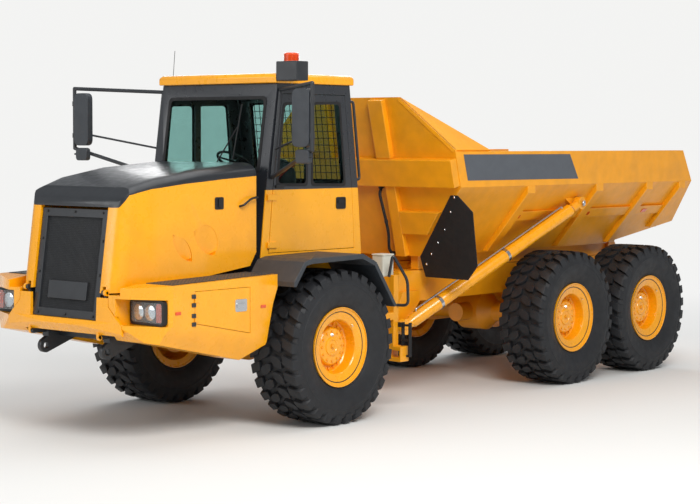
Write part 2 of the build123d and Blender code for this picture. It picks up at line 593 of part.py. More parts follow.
floor_inside = BED_BOTTOM + BED_WALL
BED_HOLLOW = [
    (headboard_foot + BED_WALL - headboard_lean * BED_WALL, floor_inside),
    (REAR_AXLE_Y + 29, floor_inside),
    (TAIL_Y + 400, floor_inside + 250 + 400 * 0.193),
    (TAIL_Y + 400, BED_RAIL_Z + 300),
    (rail_front_y + BED_WALL - headboard_lean * 300, BED_RAIL_Z + 300),
]
HEADBOARD = [(0, HEADBOARD_TOP), (BED_FLOOR_HALF - 15, HEADBOARD_TOP),
             (BED_HALF_WIDTH - 7, BED_RAIL_Z + 17), (BED_HALF_WIDTH - 7, BED_KNEE_Z - 40),
             (BED_FLOOR_HALF, BED_BOTTOM), (0, BED_BOTTOM)]
tub_outside = tub(0, BED_SIDE, BED_BOTTOM)
tub_inside = tub(BED_WALL, BED_HOLLOW, floor_inside)
with BuildPart() as dump_bed:
    add(tub_outside)
    add(tub_inside, mode=Mode.SUBTRACT)
    # Top rails
    for side in SIDES.values():
        rail = sorted([side * (BED_HALF_WIDTH - 90), side * BED_HALF_WIDTH])
        block(rail, (rail_front_y + 60, REAR_AXLE_Y + 780), (BED_RAIL_Z - 110, BED_RAIL_Z))
    # Headboard plate, leaning forward at its top
    with BuildSketch(Plane.XZ.offset(-headboard_foot)) as face:
        with BuildLine():
            Polyline(*HEADBOARD, close=True)
        make_face()
        mirror(about=Plane.YZ)
    leaning = [(headboard_foot, BED_BOTTOM), (headboard_foot + BED_WALL, BED_BOTTOM),
               (headboard_foot + BED_WALL - 450, HEADBOARD_TOP), (headboard_foot - 450, HEADBOARD_TOP)]
    with BuildSketch(Plane.YZ) as lean_side:
        with BuildLine():
            Polyline(*leaning, close=True)
        make_face()
    board = extrude(lean_side.sketch, amount=BED_HALF_WIDTH, both=True, mode=Mode.PRIVATE)
    window = extrude(face.sketch, amount=700, both=True, mode=Mode.PRIVATE)
    add(board & window)
    # Sills that lie over the frame rails and end in the hinge lugs
    for side in SIDES.values():
        sill = sorted([side * SILL_X, side * (SILL_X + SILL_WIDTH)])
        block(sill, (PIVOT_Y + 900, HINGE_Y), (REAR_RAIL_TOP + MOVING_GAP, BED_BOTTOM + 20))
        bar((sill[0], HINGE_Y, HINGE_Z), (sill[1], HINGE_Y, HINGE_Z), HINGE_EAR_RADIUS)
        block(sill, (HINGE_Y - 10, HINGE_Y + 85), (HINGE_Z, BED_BOTTOM + 90))
        bar((sill[0] - 1, HINGE_Y, HINGE_Z), (sill[1] + 1, HINGE_Y, HINGE_Z),
            HINGE_PIN_RADIUS + SEAT_GAP, mode=Mode.SUBTRACT)
        # Hoist ear on the sloped side
        ear_face = HOIST_EYE.X - HOIST_EYE_CAP - SEAT_GAP
        ear = sorted([side * (ear_face - 90), side * ear_face])
        with BuildSketch(Plane.YZ.offset(ear[0])) as lug:
            with Locations((HOIST_EYE.Y, HOIST_EYE.Z)):
                Circle(70)
            with Locations((HOIST_EYE.Y, HOIST_EYE.Z + 70)):
                Rectangle(420, 20)
            make_hull()
        extrude(lug.sketch, amount=90)
save(dump_bed, "dump_bed")


# Cab shell: walls and pillars around the windows, floor, and the door's opening
CAB_SIDE = from_front([(-556, 698), (-536, 919), (-464, 1578), (-300, 2648), (813, 2648),
                       (954, 1561), (1006, 943), (1006, 698)])
CAB_ROOM = from_front([(-516, 758), (-498, 919), (-424, 1578), (-254, 2700), (765, 2700),
                       (914, 1561), (966, 943), (966, 758)])
DOOR = from_front([(-424, 943), (-360, 1578), (-225, 2540), (730, 2540), (850, 1561), (890, 943)])
SIDE_WINDOWS = [
    from_front([(-303, 1630), (-200, 2440), (140, 2450), (140, 1620)]),
    from_front([(225, 1620), (225, 2450), (650, 2460), (735, 1610)]),
]
cab_room_width = CAB_HALF_WIDTH - CAB_WALL


def offset_door(gap):
    """The door's outline grown by a gap on each side."""
    with BuildSketch(Plane.YZ.offset(cab_room_width - 5)) as grown:
        with BuildLine():
            Polyline(*DOOR, close=True)
        make_face()
        offset(amount=gap, kind=Kind.INTERSECTION)
    return grown.sketch


with BuildPart() as cab_shell:
    side_plate(CAB_SIDE, -CAB_HALF_WIDTH, 2 * CAB_HALF_WIDTH)
    side_plate(CAB_ROOM, -cab_room_width, 2 * cab_room_width, mode=Mode.SUBTRACT)
    extrude(offset_door(MOVING_GAP), amount=CAB_WALL + 20, mode=Mode.SUBTRACT)
    for window in SIDE_WINDOWS:
        side_plate(window, -CAB_HALF_WIDTH - 5, CAB_WALL + 10, mode=Mode.SUBTRACT)
    front_y = [y for y, _ in from_front([(-620, 0), (-180, 0)])]
    block((-690, 690), front_y, (AXLE_Z + 1770, AXLE_Z + 2500), mode=Mode.SUBTRACT)
    rear_y = [y for y, _ in from_front([(700, 0), (1050, 0)])]
    block((-620, 620), rear_y, (AXLE_Z + 1640, AXLE_Z + 2480), mode=Mode.SUBTRACT)
save(cab_shell, "cab_shell")

roof_y = [y for y, _ in from_front([(-345, 0), (860, 0)])]
with BuildPart() as cab_roof:
    block((-CAB_HALF_WIDTH - 20, CAB_HALF_WIDTH + 20), roof_y, (CAB_TOP_Z, CAB_TOP_Z + ROOF_HEIGHT))
    fillet(cab_roof.faces().sort_by(Axis.Z)[-1].edges(), radius=45)
save(cab_roof, "cab_roof")

with BuildPart() as cab_glass:
    for window in SIDE_WINDOWS:
        side_plate(window, -CAB_HALF_WIDTH + 12, GLASS)
    windshield = from_front([(-434 + 12, 1770), (-434 + 12 + GLASS, 1770), (-322 + 12 + GLASS, 2500),
                             (-322 + 12, 2500)])
    side_plate(windshield, -690, 1380)
    rear_glass = from_front([(944 - 12 - GLASS, 1640), (944 - 12, 1640), (835 - 12, 2480),
                             (835 - 12 - GLASS, 2480)])
    side_plate(rear_glass, -620, 1240)
save(cab_glass, "cab_glass")

DOOR_HINGE = (CAB_HALF_WIDTH + 16.0, FRONT_AXLE_Y - 446.0)
DOOR_HINGE_LEVELS = (AXLE_Z + 1020.0, AXLE_Z + 1500.0)
with BuildPart() as cab_door:
    side_plate(DOOR, cab_room_width, CAB_WALL)
    for level in DOOR_HINGE_LEVELS:
        with Locations((*DOOR_HINGE, level)):
            Cylinder(14, 60)
        block((CAB_HALF_WIDTH, CAB_HALF_WIDTH + 14), (DOOR_HINGE[1], DOOR_HINGE[1] + 130), (level - 30, level + 30))
        with Locations((*DOOR_HINGE, level)):
            Cylinder(7 + SEAT_GAP, 80, mode=Mode.SUBTRACT)
    for window in SIDE_WINDOWS:
        side_plate(window, cab_room_width - 5, CAB_WALL + 10, mode=Mode.SUBTRACT)
save(cab_door, "cab_door")

with BuildPart() as door_glass:
    for window in SIDE_WINDOWS:
        side_plate(window, CAB_HALF_WIDTH - 12 - GLASS, GLASS)
save(door_glass, "door_glass")

seat_y = [y for y, _ in from_front([(150, 0), (650, 0)])]
with BuildPart() as cab_seat:
    block((-250, 250), seat_y, (CAB_FLOOR_Z + 380, CAB_FLOOR_Z + 520))
    block((-250, 250), (seat_y[1] - 110, seat_y[1]), (CAB_FLOOR_Z + 520, CAB_FLOOR_Z + 1180))
    block((-160, 160), (seat_y[0] + 100, seat_y[1] - 100), (CAB_FLOOR_Z + 60, CAB_FLOOR_Z + 380))
save(cab_seat, "cab_seat")

dash_y = [y for y, _ in from_front([(-400, 0), (-230, 0)])]
with BuildPart() as steering_console:
    block((-500, 500), dash_y, (CAB_FLOOR_Z + 60, CAB_FLOOR_Z + 960))
    column_foot = Vector(0, dash_y[1] - 20, CAB_FLOOR_Z + 880)
    column_top = column_foot + Vector(0, 170, 190)
    bar(column_foot, column_top, 35)
    with BuildSketch(Plane(origin=column_top, z_dir=column_top - column_foot)) as wheel:
        Circle(210)
    extrude(wheel.sketch, amount=25)
save(steering_console, "steering_console")


# Hood: yellow sides and nose legs, dark top; it tilts forward about its nose hinge
HOOD_SIDE = from_front([(-2369, 640), (-2250, 1480), (-1756, 1610), (-1222, 1690), (-590, 1730),
                        (-575, 959), (-664, 823), (-1628, 790), (-2200, 770)])
HOOD_ROOM = from_front([(-2350, 500), (-2226, 1440), (-1756, 1575), (-1222, 1655), (-560, 1700),
                        (-560, 500)])
TOP_SPLIT = from_front([(-2500, 1380), (-1756, 1560), (-1222, 1640), (-500, 1680), (-500, 2000),
                        (-2500, 2000)])
hood_room = HOOD_HALF_WIDTH - HOOD_WALL
with BuildPart() as hood_solid:
    side_plate(HOOD_SIDE, -HOOD_HALF_WIDTH, 2 * HOOD_HALF_WIDTH)
    side_plate(HOOD_ROOM, -hood_room, 2 * hood_room, mode=Mode.SUBTRACT)
    nose_y = [y for y, _ in from_front([(-2500, 0), (-2150, 0)])]
    block((-GRILLE_HALF_WIDTH - 10, GRILLE_HALF_WIDTH + 10), nose_y, (AXLE_Z, AXLE_Z + 1440),
          mode=Mode.SUBTRACT)
with BuildPart() as split_solid:
    side_plate(TOP_SPLIT, -HOOD_HALF_WIDTH - 5, 2 * HOOD_HALF_WIDTH + 10)
with BuildPart() as hood_sides:
    add(hood_solid.part)
    add(split_solid.part, mode=Mode.SUBTRACT)
    for side in SIDES.values():
        notch = sorted([side * (HOOD_LUG_X - 45), side * HOOD_LUG_X])
        block(notch, (HOOD_HINGE[0] - 40, HOOD_HINGE[0] + 90), (HOOD_HINGE[1] - 60, HOOD_HINGE[1] + 45),
              mode=Mode.SUBTRACT)
        lug = sorted([side * HOOD_LUG_X, side * (HOOD_LUG_X + 30)])
        bar((lug[0], *HOOD_HINGE), (lug[1], *HOOD_HINGE), 30)
        bar((lug[0] - 1, *HOOD_HINGE), (lug[1] + 1, *HOOD_HINGE), HINGE_ROD + SEAT_GAP, mode=Mode.SUBTRACT)
save(hood_sides, "hood_sides")
with BuildPart() as hood_top:
    add(hood_solid.part)
    add(split_solid.part, mode=Mode.INTERSECT)
save(hood_top, "hood_top")


BUMPER = [(820, NOSE_BOTTOM), (820, AXLE_Z + 348), (630, AXLE_Z + 520), (630, AXLE_Z + 600)]


def bumper_outline(gap):
    """The bumper centre's face, on the nose plane, grown by a gap."""
    with BuildSketch(Plane.XZ.offset(-NOSE_Y)) as face:
        with BuildLine():
            Polyline(*BUMPER, *[(-x, z) for x, z in reversed(BUMPER)], close=True)
        make_face()
        if gap:
            offset(amount=gap, kind=Kind.INTERSECTION)
    return face.sketch


# Drop-down nose: the grille frame, its mesh panel and the yellow bumper centre below it
GRILLE_SIDE = from_front([(-2375, 390), (-2310, 1425), (-2250, 1425), (-2315, 390)])
with BuildPart() as grille_frame:
    side_plate(GRILLE_SIDE, -GRILLE_HALF_WIDTH, 2 * GRILLE_HALF_WIDTH)
save(grille_frame, "grille_frame")

with BuildPart() as nose_bumper:
    extrude(bumper_outline(0), amount=-BUMPER_DEPTH)
    for side in SIDES.values():
        lug = sorted([side * NOSE_LUG_X, side * (NOSE_LUG_X + 30)])
        block(lug, (NOSE_HINGE[0] - 25, NOSE_Y + BUMPER_DEPTH), (NOSE_HINGE[1], NOSE_BOTTOM + 40))
        bar((lug[0], *NOSE_HINGE), (lug[1], *NOSE_HINGE), 25)
        bar((lug[0] - 1, *NOSE_HINGE), (lug[1] + 1, *NOSE_HINGE), HINGE_ROD + SEAT_GAP, mode=Mode.SUBTRACT)
save(nose_bumper, "nose_bumper")


# Fenders: a deck, an outer side with the service door, and the nose corner with its lamp pod
FENDER_SIDE = from_front([(-2190, 230), (-2190, 729), (-745, DECK_Z - AXLE_Z), (-745, 640), (-810, 480),
                          (-908, 87), (-1174, -46), (-1900, 120)])
SERVICE_DOOR = from_front([(-1869, 300), (-1869, 663), (-1132, 663), (-1132, 222), (-1400, 180)])
SERVICE_PIN_RADIUS = 5.0
SERVICE_KNUCKLE_RADIUS = 7.5
SERVICE_HINGE = (FENDER_HALF_WIDTH + 8.0, SERVICE_DOOR[0][0] - 4.0)
SERVICE_HINGE_LEVELS = (AXLE_Z + 400.0, AXLE_Z + 580.0)
with BuildPart() as fenders:
    side_plate(FENDER_SIDE, FENDER_INNER, FENDER_HALF_WIDTH - FENDER_INNER)
    with BuildSketch(Plane.YZ.offset(FENDER_INNER + FENDER_WALL)) as room:
        with BuildLine():
            Polyline(*FENDER_SIDE, close=True)
        make_face()
        offset(amount=-FENDER_WALL, kind=Kind.INTERSECTION)
    extrude(room.sketch, amount=FENDER_HALF_WIDTH - FENDER_INNER - 2 * FENDER_WALL, mode=Mode.SUBTRACT)
    with BuildSketch(Plane.YZ.offset(FENDER_HALF_WIDTH - FENDER_WALL - 5)) as opening:
        with BuildLine():
            Polyline(*SERVICE_DOOR, close=True)
        make_face()
        offset(amount=MOVING_GAP, kind=Kind.INTERSECTION)
    extrude(opening.sketch, amount=FENDER_WALL + 10, mode=Mode.SUBTRACT)
    for level in SERVICE_HINGE_LEVELS:
        with Locations((*SERVICE_HINGE, level)):
            Cylinder(SERVICE_PIN_RADIUS, 100)
        for end in (-1, 1):
            with Locations((*SERVICE_HINGE, level + end * 40)):
                Cylinder(SERVICE_KNUCKLE_RADIUS, 39)
            block((FENDER_HALF_WIDTH, SERVICE_HINGE[0]), (SERVICE_HINGE[1] - 40, SERVICE_HINGE[1]),
                  (level + end * 40 - 19.5, level + end * 40 + 19.5))
    mirror(about=Plane.YZ)
save(fenders, "fenders")

for side_name, side in SIDES.items():
    low = side * (FENDER_HALF_WIDTH - FENDER_WALL) if side > 0 else -FENDER_HALF_WIDTH
    with BuildPart() as service_door:
        side_plate(SERVICE_DOOR, low, FENDER_WALL)
        for level in SERVICE_HINGE_LEVELS:
            hinge = (side * SERVICE_HINGE[0], SERVICE_HINGE[1], level)
            leaf = sorted([side * FENDER_HALF_WIDTH, side * SERVICE_HINGE[0]])
            block(leaf, (SERVICE_HINGE[1], SERVICE_HINGE[1] + 50), (level - 20, level + 20))
            with Locations(hinge):
                Cylinder(SERVICE_KNUCKLE_RADIUS, 40)
                Cylinder(SERVICE_PIN_RADIUS + SEAT_GAP, 60, mode=Mode.SUBTRACT)
    save(service_door, f"service_door_{side_name}")

# Nose corners: swept lamp housings between the bumper centre and the fenders
LAMP_CORNER = [(840, FRONT_AXLE_Y - 2400), (1180, FRONT_AXLE_Y - 2300), (FENDER_HALF_WIDTH, FRONT_AXLE_Y - 2190),
               (FENDER_INNER, FRONT_AXLE_Y - 2190), (640, FRONT_AXLE_Y - 2310), (640, FRONT_AXLE_Y - 2372)]
with BuildPart() as nose_corners:
    with BuildSketch(Plane.XY.offset(AXLE_Z + 230)) as plan:
        with BuildLine():
            Polyline(*LAMP_CORNER, close=True)
        make_face()
    extrude(plan.sketch, amount=499)
    block((0, HOOD_HALF_WIDTH + MOVING_GAP), (NOSE_Y - 10, FRONT_AXLE_Y), (AXLE_Z + 600, AXLE_Z + 800),
          mode=Mode.SUBTRACT)
    extrude(bumper_outline(MOVING_GAP), amount=-300, mode=Mode.SUBTRACT)
    mirror(about=Plane.YZ)
save(nose_corners, "nose_corners")


# Mudguards: dark arches over the front tyres
ARCH_OUTER = from_front([(-745, 650), (-745, 700), (-594, 890), (-492, 914), (294, 928), (499, 836), (830, 367)])
ARCH_INNER = from_front([(790, 357), (470, 800), (280, 878), (-480, 864), (-565, 850), (-715, 650)])
with BuildPart() as mudguards:
    side_plate(ARCH_OUTER + ARCH_INNER, CAB_HALF_WIDTH + 5, 640)
    mirror(about=Plane.YZ)
save(mudguards, "mudguards")


# Mirrors on tube frames, one each side of the cab's nose
MIRROR_TUBE = 20.0
mirror_foot_x = CAB_HALF_WIDTH + MIRROR_TUBE
MIRROR_FOOT_TOP = (mirror_foot_x, FRONT_AXLE_Y - 275, AXLE_Z + 2580)
MIRROR_FOOT_LOW = (mirror_foot_x, FRONT_AXLE_Y - 400, AXLE_Z + 1700)
MIRROR_HEAD_TOP = (1720.0, FRONT_AXLE_Y - 765, AXLE_Z + 2620)
MIRROR_HEAD_LOW = (1720.0, FRONT_AXLE_Y - 765, AXLE_Z + 1980)
with BuildPart() as mirror_arms:
    for start, end in ((MIRROR_FOOT_TOP, MIRROR_HEAD_TOP), (MIRROR_HEAD_TOP, MIRROR_HEAD_LOW),
                       (MIRROR_HEAD_LOW, MIRROR_FOOT_LOW), (MIRROR_FOOT_LOW, MIRROR_FOOT_TOP)):
        bar(start, end, MIRROR_TUBE)
        for end_point in (start, end):
            with Locations(end_point):
                Sphere(MIRROR_TUBE)
    mirror(about=Plane.YZ)
save(mirror_arms, "mirror_arms")

with BuildPart() as mirror_heads:
    for low, high in ((AXLE_Z + 2210, AXLE_Z + 2570), (AXLE_Z + 2010, AXLE_Z + 2180)):
        block((1480, 1720 - MIRROR_TUBE), (FRONT_AXLE_Y - 790, FRONT_AXLE_Y - 720), (low, high))
    mirror(about=Plane.YZ)
save(mirror_heads, "mirror_heads")


# Beacon on its box at the roof's front corner, and the radio aerial
beacon_y = FRONT_AXLE_Y - 200
with BuildPart() as beacon_box:
    block((CAB_HALF_WIDTH + 20, 1130), (beacon_y - 35, beacon_y + 35), (CAB_TOP_Z + 20, CAB_TOP_Z + 215))
save(beacon_box, "beacon_box")
with BuildPart() as beacon:
    with Locations((930, beacon_y, CAB_TOP_Z + 215 + 45)):
        Cylinder(80, 90)
save(beacon, "beacon")


# Steps behind the front wheels, hung on a post under the cab
STEP_X = (1140.0, 1300.0)
STEP_POST_X = (1140.0, 1205.0)
STEP_BOTTOM = AXLE_Z - 262.0
STEP_TOP = AXLE_Z - 100.0
STEP_RUNG = 45.0
STEP_SIDE = 18.0
post_y = [y for y, _ in from_front([(1100, 0), (1180, 0)])]
arm_y = [y for y, _ in from_front([(970, 0), (1050, 0)])]
step_y = [post_y[0], post_y[1] + 60]
with BuildPart() as cab_steps:
    block(STEP_POST_X, post_y, (STEP_TOP - STEP_RUNG, AXLE_Z + 655))
    block((rail_outer, STEP_POST_X[1]), arm_y, (AXLE_Z + 180, AXLE_Z + 260))
    block(STEP_POST_X, (arm_y[0], post_y[1]), (AXLE_Z + 180, AXLE_Z + 260))
    for level in (STEP_BOTTOM, STEP_TOP - STEP_RUNG):
        block(STEP_X, step_y, (level, level + STEP_RUNG))
    for x in (STEP_X[0], STEP_X[1] - STEP_SIDE):
        block((x, x + STEP_SIDE), step_y, (STEP_BOTTOM, STEP_TOP))
    mirror(about=Plane.YZ)
save(cab_steps, "cab_steps")
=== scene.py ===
import math

import bmesh
import bpy
from mathutils import Matrix, Vector


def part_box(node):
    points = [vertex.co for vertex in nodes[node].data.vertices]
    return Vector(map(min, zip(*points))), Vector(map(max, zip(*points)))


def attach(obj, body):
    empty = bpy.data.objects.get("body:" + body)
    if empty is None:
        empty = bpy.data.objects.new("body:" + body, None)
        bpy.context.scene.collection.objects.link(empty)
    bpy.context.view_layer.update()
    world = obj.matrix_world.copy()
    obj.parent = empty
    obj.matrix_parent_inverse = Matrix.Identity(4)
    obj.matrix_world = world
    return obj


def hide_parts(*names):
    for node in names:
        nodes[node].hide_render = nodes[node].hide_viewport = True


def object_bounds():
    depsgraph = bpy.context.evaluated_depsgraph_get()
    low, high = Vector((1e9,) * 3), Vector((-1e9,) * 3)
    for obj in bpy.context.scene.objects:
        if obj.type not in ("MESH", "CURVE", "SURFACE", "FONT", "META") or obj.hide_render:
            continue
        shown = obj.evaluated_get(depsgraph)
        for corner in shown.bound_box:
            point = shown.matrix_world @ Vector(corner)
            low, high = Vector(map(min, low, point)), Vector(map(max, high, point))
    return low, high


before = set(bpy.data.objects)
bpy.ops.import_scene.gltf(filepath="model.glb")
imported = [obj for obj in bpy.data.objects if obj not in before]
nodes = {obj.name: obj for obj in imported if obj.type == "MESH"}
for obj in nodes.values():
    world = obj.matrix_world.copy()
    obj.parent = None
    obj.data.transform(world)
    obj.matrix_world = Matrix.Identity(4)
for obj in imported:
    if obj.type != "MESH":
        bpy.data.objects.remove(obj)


def corners(bounds):
    return [[float(v) for v in corner] for corner in bounds]


cad_box = corners(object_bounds())

NOSE_Y = cad_box[0][1]
FRONT_AXLE_Y = -2.361
MID_AXLE_Y = 1.820
REAR_AXLE_Y = 3.490
AXLE_Z = 0.782
TRACK_HALF = 1.178
SIDES = {"left": 1, "right": -1}
UP = Vector((0, 0, 1))


def srgb(r, g, b):
    """A colour given as it looks on screen, as linear light."""
    out = []
    for v in (r, g, b):
        v /= 255
        out.append(v / 12.92 if v <= 0.04045 else ((v + 0.055) / 1.055) ** 2.4)
    return (*out, 1.0)


# Camera, fitted to the wheels in the photograph
PHOTO_WIDTH = 700
FOCAL_PIXELS = 1820.69
SENSOR = 36
CAMERA_PLACE = (13.37145, -16.0856, 2.8666)
AZIMUTH = math.radians(40.76)
ELEVATION = math.radians(3.54)
ROLL = math.radians(0.17)
ahead = Vector((-math.sin(AZIMUTH) * math.cos(ELEVATION), math.cos(AZIMUTH) * math.cos(ELEVATION),
                -math.sin(ELEVATION)))
right = ahead.cross(UP).normalized()
above = right.cross(ahead)
cam_right = right * math.cos(ROLL) + above * math.sin(ROLL)
cam_up = above * math.cos(ROLL) - right * math.sin(ROLL)
camera_data = bpy.data.cameras.new("camera")
camera_data.sensor_width = SENSOR
camera_data.lens = FOCAL_PIXELS / PHOTO_WIDTH * SENSOR
camera_data.clip_end = 200
camera = bpy.data.objects.new("camera", camera_data)
bpy.context.scene.collection.objects.link(camera)
turn = Matrix((cam_right, cam_up, -ahead)).transposed().to_4x4()
camera.matrix_world = Matrix.Translation(CAMERA_PLACE) @ turn
bpy.context.scene.camera = camera


# Materials
CLOUD_SCALE = 6.0
CAB_SKIN = 0.815
CAB_REAR_SKIN = FRONT_AXLE_Y + 0.945
TWO_TONE_Z = 2.357


def fill(tree, node, inputs):
    """Sets a node's inputs, each to a value or to the output that is linked to it."""
    for key, value in inputs.items():
        if isinstance(value, bpy.types.NodeSocket):
            tree.links.new(value, node.inputs[key])
        else:
            node.inputs[key].default_value = value


def add(tree, kind, inputs=None, **settings):
    """A new shader node with its settings and inputs."""
    node = tree.nodes.new("ShaderNode" + kind)
    for key, value in settings.items():
        setattr(node, key, value)
    fill(tree, node, inputs or {})
    return node


def material(name, base, roughness=0.5, metallic=0.0, coat=0.0, spread=0.08, bump=0.0, bump_scale=300.0,
             rough_spread=0.08, grime=0.0, grime_colour=(0.10, 0.085, 0.07, 1.0), above=None, **sockets):
    """A procedural finish: cloudy colour, uneven gloss, fine bump, and dust in cloudy patches."""
    m = bpy.data.materials.new(name)
    m.use_nodes = True
    tree = m.node_tree
    place = add(tree, "TexCoord").outputs["Object"]

    def noise(scale, detail=6.0):
        return add(tree, "TexNoise", {"Vector": place, "Scale": scale, "Detail": detail}).outputs["Fac"]

    def remap(value, low, high, out_low, out_high):
        limits = {"From Min": low, "From Max": high, "To Min": out_low, "To Max": out_high}
        return add(tree, "MapRange", {"Value": value, **limits}).outputs["Result"]

    def maths(operation, first, second):
        return add(tree, "Math", {0: first, 1: second}, operation=operation).outputs[0]

    def blend(factor, first, second):
        inputs = {"Factor": factor, "A": first, "B": second}
        return add(tree, "Mix", inputs, data_type="RGBA").outputs["Result"]

    dark, light = ((*(min(1.0, c * share) for c in base[:3]), 1.0) for share in (1 - spread, 1 + spread))
    colour = blend(remap(noise(CLOUD_SCALE), 0.35, 0.65, 0, 1), dark, light)
    if grime:
        patches = remap(noise(CLOUD_SCALE * 0.35, 10), 0.52, 0.72, 0, grime)
        colour = blend(patches, colour, grime_colour)
    if above:
        # Two-tone paint: the second colour over a height, and on the faces that look into the cab
        split, second = above
        axes = add(tree, "SeparateXYZ", {"Vector": place})
        high = maths("GREATER_THAN", axes.outputs["Z"], split)
        inside = maths("LESS_THAN", maths("ABSOLUTE", axes.outputs["X"], 0), CAB_SKIN)
        ahead_of_rear = maths("LESS_THAN", axes.outputs["Y"], CAB_REAR_SKIN)
        colour = blend(maths("MAXIMUM", high, maths("MULTIPLY", inside, ahead_of_rear)), colour, second)
    gloss = remap(noise(CLOUD_SCALE * 2.3), 0.3, 0.7, max(0.02, roughness - rough_spread),
                  roughness + rough_spread)
    inputs = {"Base Color": colour, "Roughness": gloss, "Metallic": metallic, "Coat Weight": coat,
              "Coat Roughness": 0.12, **{key.replace("_", " "): value for key, value in sockets.items()}}
    if bump:
        height = noise(bump_scale, 3)
        relief = add(tree, "Bump", {"Strength": bump, "Distance": 0.002, "Height": height})
        inputs["Normal"] = relief.outputs["Normal"]
    fill(tree, tree.nodes["Principled BSDF"], inputs)
    return m


YELLOW = material("yellow_gloss", srgb(248, 168, 8), 0.30, coat=0.45, spread=0.03, bump=0.06, bump_scale=160,
                  grime=0.05)
YELLOW_WORK = material("yellow_worked", srgb(240, 160, 12), 0.42, coat=0.15, spread=0.05, bump=0.12,
                       bump_scale=120, grime=0.12)
DARK_GLOSS = material("dark_gloss", srgb(36, 39, 43), 0.36, coat=0.18, spread=0.06, bump=0.04, bump_scale=180)
DARK_PAINT = material("dark_paint", srgb(38, 41, 45), 0.42, coat=0.1, spread=0.10, bump=0.15, bump_scale=220,
                      grime=0.10)
DARK_PLASTIC = material("dark_plastic", srgb(50, 55, 61), bump=0.25, bump_scale=420, grime=0.08)
BLACK = material("black_trim", srgb(24, 25, 27), spread=0.12, bump=0.2)
RUBBER = material("rubber", srgb(20, 20, 22), 0.72, spread=0.15, bump=0.35, bump_scale=260)
TYRE = material("tyre_rubber", srgb(27, 29, 33), 0.62, spread=0.16, bump=0.35, bump_scale=240, grime=0.18,
                grime_colour=srgb(52, 51, 50))
STEEL = material("steel", srgb(200, 202, 205), 0.22, metallic=1.0, spread=0.04, bump=0.05, bump_scale=600)
CHROME = material("chrome", srgb(225, 227, 230), 0.08, metallic=1.0, spread=0.02, rough_spread=0.03)
CAST = material("cast_iron", srgb(70, 72, 74), 0.6, metallic=0.3, spread=0.15, bump=0.5, bump_scale=200)
SEAT = material("seat_cloth", srgb(44, 46, 52), 0.9, spread=0.15, bump=0.7, bump_scale=900, Sheen_Weight=0.3)
MIRROR = material("mirror_glass", srgb(225, 230, 235), 0.03, metallic=1.0, spread=0.01, rough_spread=0.01)
AMBER = material("amber_lens", srgb(255, 92, 30), 0.12, spread=0.05, coat=0.6, bump=0.2, bump_scale=90,
                 Transmission_Weight=0.35)
CAB_PAINT = material("cab_two_tone", srgb(247, 170, 8), 0.32, coat=0.4, spread=0.03, bump=0.06,
                     bump_scale=160, grime=0.05, above=(TWO_TONE_Z, srgb(38, 41, 46)))
STRIPE = material("stripe_grey", srgb(80, 85, 92), 0.38, coat=0.2, spread=0.05, bump=0.06, bump_scale=200)
PALE = material("pale_box", srgb(205, 203, 190), spread=0.04, bump=0.1, bump_scale=200, grime=0.1)
LENS = material("lamp_glass", srgb(235, 240, 242), 0.02, spread=0.01, rough_spread=0.01,
                Transmission_Weight=0.9, IOR=1.2)
RED = material("red_belt", srgb(150, 30, 28), 0.7, bump=0.4, bump_scale=700)
GLASS = material("tinted_glass", srgb(178, 208, 204), 0.02, spread=0.02, rough_spread=0.01,
                 Transmission_Weight=1.0, IOR=1.1)
CAD_FINISHES = [
    (YELLOW_WORK, ["front_axle", "mid_axle", "rear_axle", "articulation_yoke", "rear_chassis", "dump_bed",
                   "walking_beams", "cab_steps", "steering_barrel_left", "steering_barrel_right"]),
    (CAB_PAINT, ["cab_shell", "cab_door"]), (YELLOW, ["cab_roof"]), (GLASS, ["cab_glass", "door_glass"]),
    (DARK_PAINT, ["front_chassis", "mirror_arms"]), (DARK_PLASTIC, ["mudguards"]), (CAST, ["engine"]),
    (BLACK, ["radiator"]), (CHROME, ["steering_rod_left", "steering_rod_right"]),
]
for finish, names in CAD_FINISHES:
    for name in names:
        nodes[name].data.materials.clear()
        nodes[name].data.materials.append(finish)


# Helpers that make meshes
def close_rings(bm, rings):
    """Skins rings of as many points with quads, and caps both ends."""
    for low, high in zip(rings, rings[1:]):
        for i, corner in enumerate(low):
            j = (i + 1) % len(low)
            bm.faces.new((corner, low[j], high[j], high[i]))
    bm.faces.new(rings[0])
    bm.faces.new(rings[-1])
    bmesh.ops.recalc_face_normals(bm, faces=bm.faces)


def skin(sections):
    """A closed form through sections of as many points each."""
    bm = bmesh.new()
    close_rings(bm, [[bm.verts.new(p) for p in section] for section in sections])
    return bm


def prism(points, axis, start, end):
    """A closed outline run along an axis. Its points are (y, z) for X, (x, z) for Y and (x, y) for Z."""
    spot = {"X": lambda p, level: (level, *p), "Y": lambda p, level: (p[0], level, p[1]),
            "Z": lambda p, level: (*p, level)}[axis]
    return skin([[spot(p, level) for p in points] for level in (start, end)])


def quad(x, z):
    """The corners of a rectangle, from its two ranges."""
    return [(x[0], z[0]), (x[1], z[0]), (x[1], z[1]), (x[0], z[1])]


def block(x, y, z):
    return prism(quad(x, y), "Z", *z)


def joined(*parts):
    """Several forms in one mesh."""
    out = bmesh.new()
    for part in parts:
        mesh = bpy.data.meshes.new("joined")
        part.to_mesh(mesh)
        part.free()
        out.from_mesh(mesh)
        bpy.data.meshes.remove(mesh)
    return out


def handed(bm, side):
    """The form as it is on one side of the truck, drawn for the left."""
    if side < 0:
        bmesh.ops.scale(bm, vec=(-1, 1, 1), verts=bm.verts)
        bmesh.ops.reverse_faces(bm, faces=bm.faces)
    return bm


def mirrored(*parts):
    """The forms and their mirror images on the truck's other side, in one mesh."""
    bm = joined(*parts)
    return joined(bm, handed(bm.copy(), -1))


